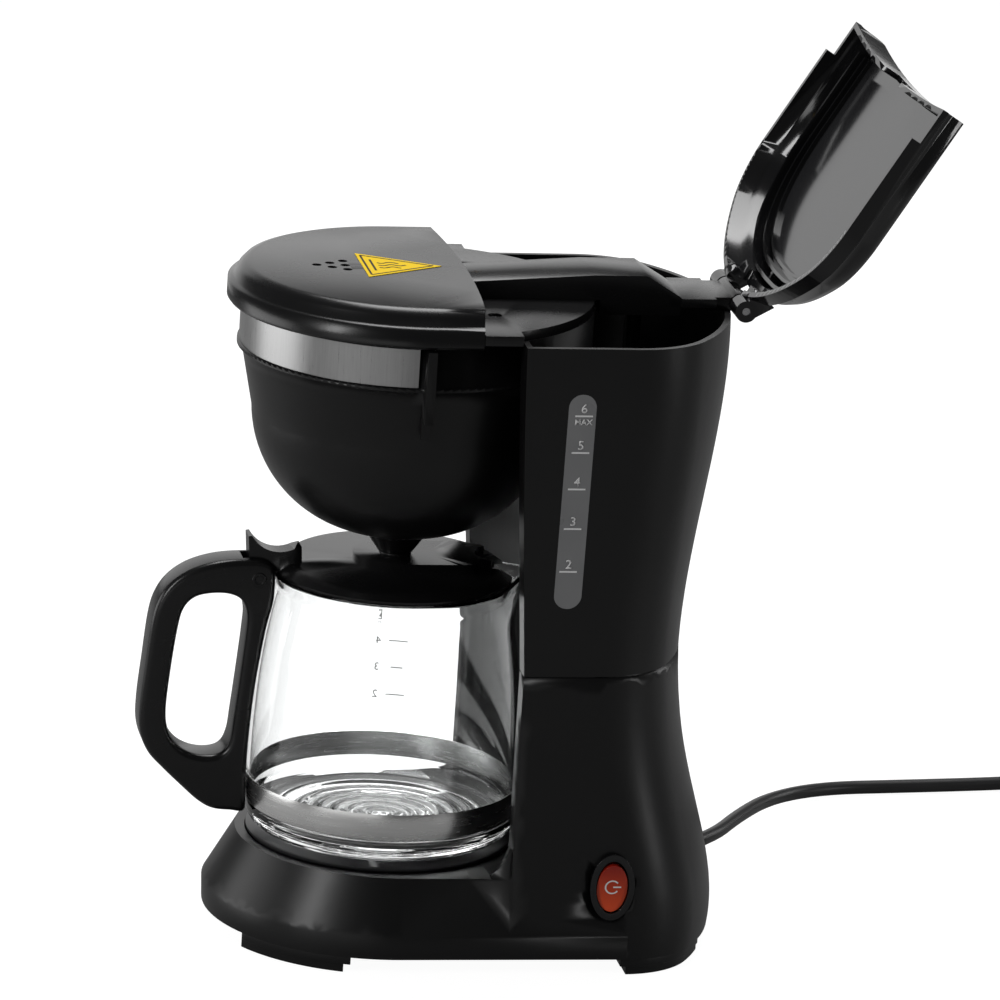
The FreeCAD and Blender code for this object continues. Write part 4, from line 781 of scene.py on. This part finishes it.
class Maker(Tree):
    # a Geometry Nodes group with named inputs
    def __init__(self, name, inputs):
        group = bpy.data.node_groups.new(name, "GeometryNodeTree")
        Tree.__init__(self, group)
        group.interface.new_socket("Geometry", in_out="INPUT", socket_type="NodeSocketGeometry")
        for label, (kind, value) in inputs.items():
            made = group.interface.new_socket(label, in_out="INPUT", socket_type="NodeSocket" + kind)
            made.default_value = value
        group.interface.new_socket("Geometry", in_out="OUTPUT", socket_type="NodeSocketGeometry")
        self.entry = group.nodes.new("NodeGroupInput")
        self.exit = group.nodes.new("NodeGroupOutput")

    def given(self, label):
        return Chan(self, self.entry.outputs[label])

    def build(self, holder, sizes, finish):
        real = self.node("GeometryNodeRealizeInstances", {}, {0: self.result})
        coated = self.node("GeometryNodeSetMaterial", {}, {"Geometry": real, "Material": finishes[finish]})
        self.join(self.exit.inputs[0], coated)
        modifier = holder.modifiers.new("maker", "NODES")
        modifier.node_group = self.tree
        for item in self.tree.interface.items_tree:
            if item.in_out == "INPUT" and item.name in sizes:
                modifier[item.identifier] = sizes[item.name]
        mesh = finished(holder)
        bpy.data.objects.remove(holder)
        return mesh


def pathObject(name, points, cyclic=False):
    data = bpy.data.curves.new(name, "CURVE")
    data.dimensions = "3D"
    run = data.splines.new("POLY")
    run.points.add(len(points) - 1)
    for point, place in zip(run.points, points):
        point.co = tuple(place) + (1.0,)
    run.use_cyclic_u = cyclic
    holder = bpy.data.objects.new(name, data)
    scene.collection.objects.link(holder)
    return holder


# ribs round the strain relief, each a little smaller than the last
reliefSizes = {"ribs": 6, "pitch": 2.6, "radius": 5.0, "taper": 0.055, "wire": 0.55, "from": 4.0}
outward = Vector((-0.62, 0.785, 0.0)).normalized()
relief = Maker("reliefRibs", {"ribs": ("Int", 6), "pitch": ("Float", 0.0026), "radius": ("Float", 0.005),
                              "taper": ("Float", 0.05), "wire": ("Float", 0.0005)})
offset = relief.node("ShaderNodeVectorMath", {"operation": "SCALE"},
                     {0: tuple(outward), "Scale": relief.given("pitch")})
start = mmPoint(*exitPoint) + outward * reliefSizes["from"] * mm
row = relief.node("GeometryNodeMeshLine", {"mode": "OFFSET"},
                  {"Count": relief.given("ribs"), "Start Location": tuple(start), "Offset": offset})
hoop = relief.node("GeometryNodeCurvePrimitiveCircle", {"mode": "RADIUS"},
                   {"Resolution": 40, "Radius": relief.given("radius")})
thread = relief.node("GeometryNodeCurvePrimitiveCircle", {"mode": "RADIUS"},
                     {"Resolution": 10, "Radius": relief.given("wire")})
rib = relief.node("GeometryNodeCurveToMesh", {}, {"Curve": hoop, "Profile Curve": thread})
place = relief.node("GeometryNodeInputIndex", {}, {})
shrink = 1.0 - place * relief.given("taper")
lean = outward.to_track_quat("Z", "Y").to_euler()
relief.result = relief.node("GeometryNodeInstanceOnPoints", {},
                            {"Points": row, "Instance": rib, "Rotation": tuple(lean), "Scale": shrink})
seed = bpy.data.objects.new("reliefSeed", bpy.data.meshes.new("reliefSeed"))
scene.collection.objects.link(seed)
ribs = relief.build(seed, {"ribs": reliefSizes["ribs"], "pitch": reliefSizes["pitch"] * mm,
                           "radius": reliefSizes["radius"] * mm * 0.93, "taper": reliefSizes["taper"],
                           "wire": reliefSizes["wire"] * mm}, "rubber")
ribs.shade_smooth()
newPiece("reliefRibs", ribs, "machine", "rubber")
print("relief ribbed")

# ridges inside the tank lid: U-shaped rails that follow its outline, one inside the other
lidSizes = {"open": 121.5, "pinY": 100.4, "pinZ": 262.8, "top": 275.0, "half": 77.6, "corner": 52.0, "rear": 97.9,
            "front": -4.0, "bend": 30.0, "points": 90,
            "rails": [(10.5, 5.6, 1.5), (14.6, 3.6, 1.3), (18.2, 2.4, 1.2)]}
opened = (Matrix.Translation(mmPoint(0, lidSizes["pinY"], lidSizes["pinZ"]))
          @ Matrix.Rotation(math.radians(-lidSizes["open"]), 4, "X")
          @ Matrix.Translation(-mmPoint(0, lidSizes["pinY"], lidSizes["pinZ"])))


def railLine(inset, height):
    half, rear = lidSizes["half"] - inset, lidSizes["rear"] - inset
    corner, front, bend = lidSizes["corner"], lidSizes["front"], lidSizes["bend"]
    points = [(-half, front), (-half, bend)]
    for k in range(1, 24):
        angle = math.pi - math.pi * k / 24
        points.append((half * math.copysign(abs(math.cos(angle)) ** 0.72, math.cos(angle)),
                       rear - corner + corner * math.sin(angle) ** 0.9))
    points += [(half, bend), (half, front)]
    return [mmPoint(x, y, lidSizes["top"] - height / 2) for x, y in points]


def railMesh(inset, height, thick):
    rail = Maker("lidRail", {"height": ("Float", 0.004), "thickness": ("Float", 0.0014)})
    profile = rail.node("GeometryNodeCurvePrimitiveQuadrilateral", {"mode": "RECTANGLE"},
                        {"Width": rail.given("thickness"), "Height": rail.given("height")})
    smooth = rail.node("GeometryNodeResampleCurve", {}, {"Curve": rail.given("Geometry"),
                                                            "Count": lidSizes["points"]})
    rail.result = rail.node("GeometryNodeCurveToMesh", {}, {"Curve": smooth, "Profile Curve": profile,
                                                            "Fill Caps": True})
    return rail.build(pathObject("rail", railLine(inset, height)),
                      {"height": height * mm, "thickness": thick * mm}, "gloss")


rails = joined("lidRails", [(railMesh(*sizes), opened) for sizes in lidSizes["rails"]])
hardEdges(rails, 40.0)
newPiece("lidRails", rails, "tank_lid", "gloss")
print("lid ridges made")
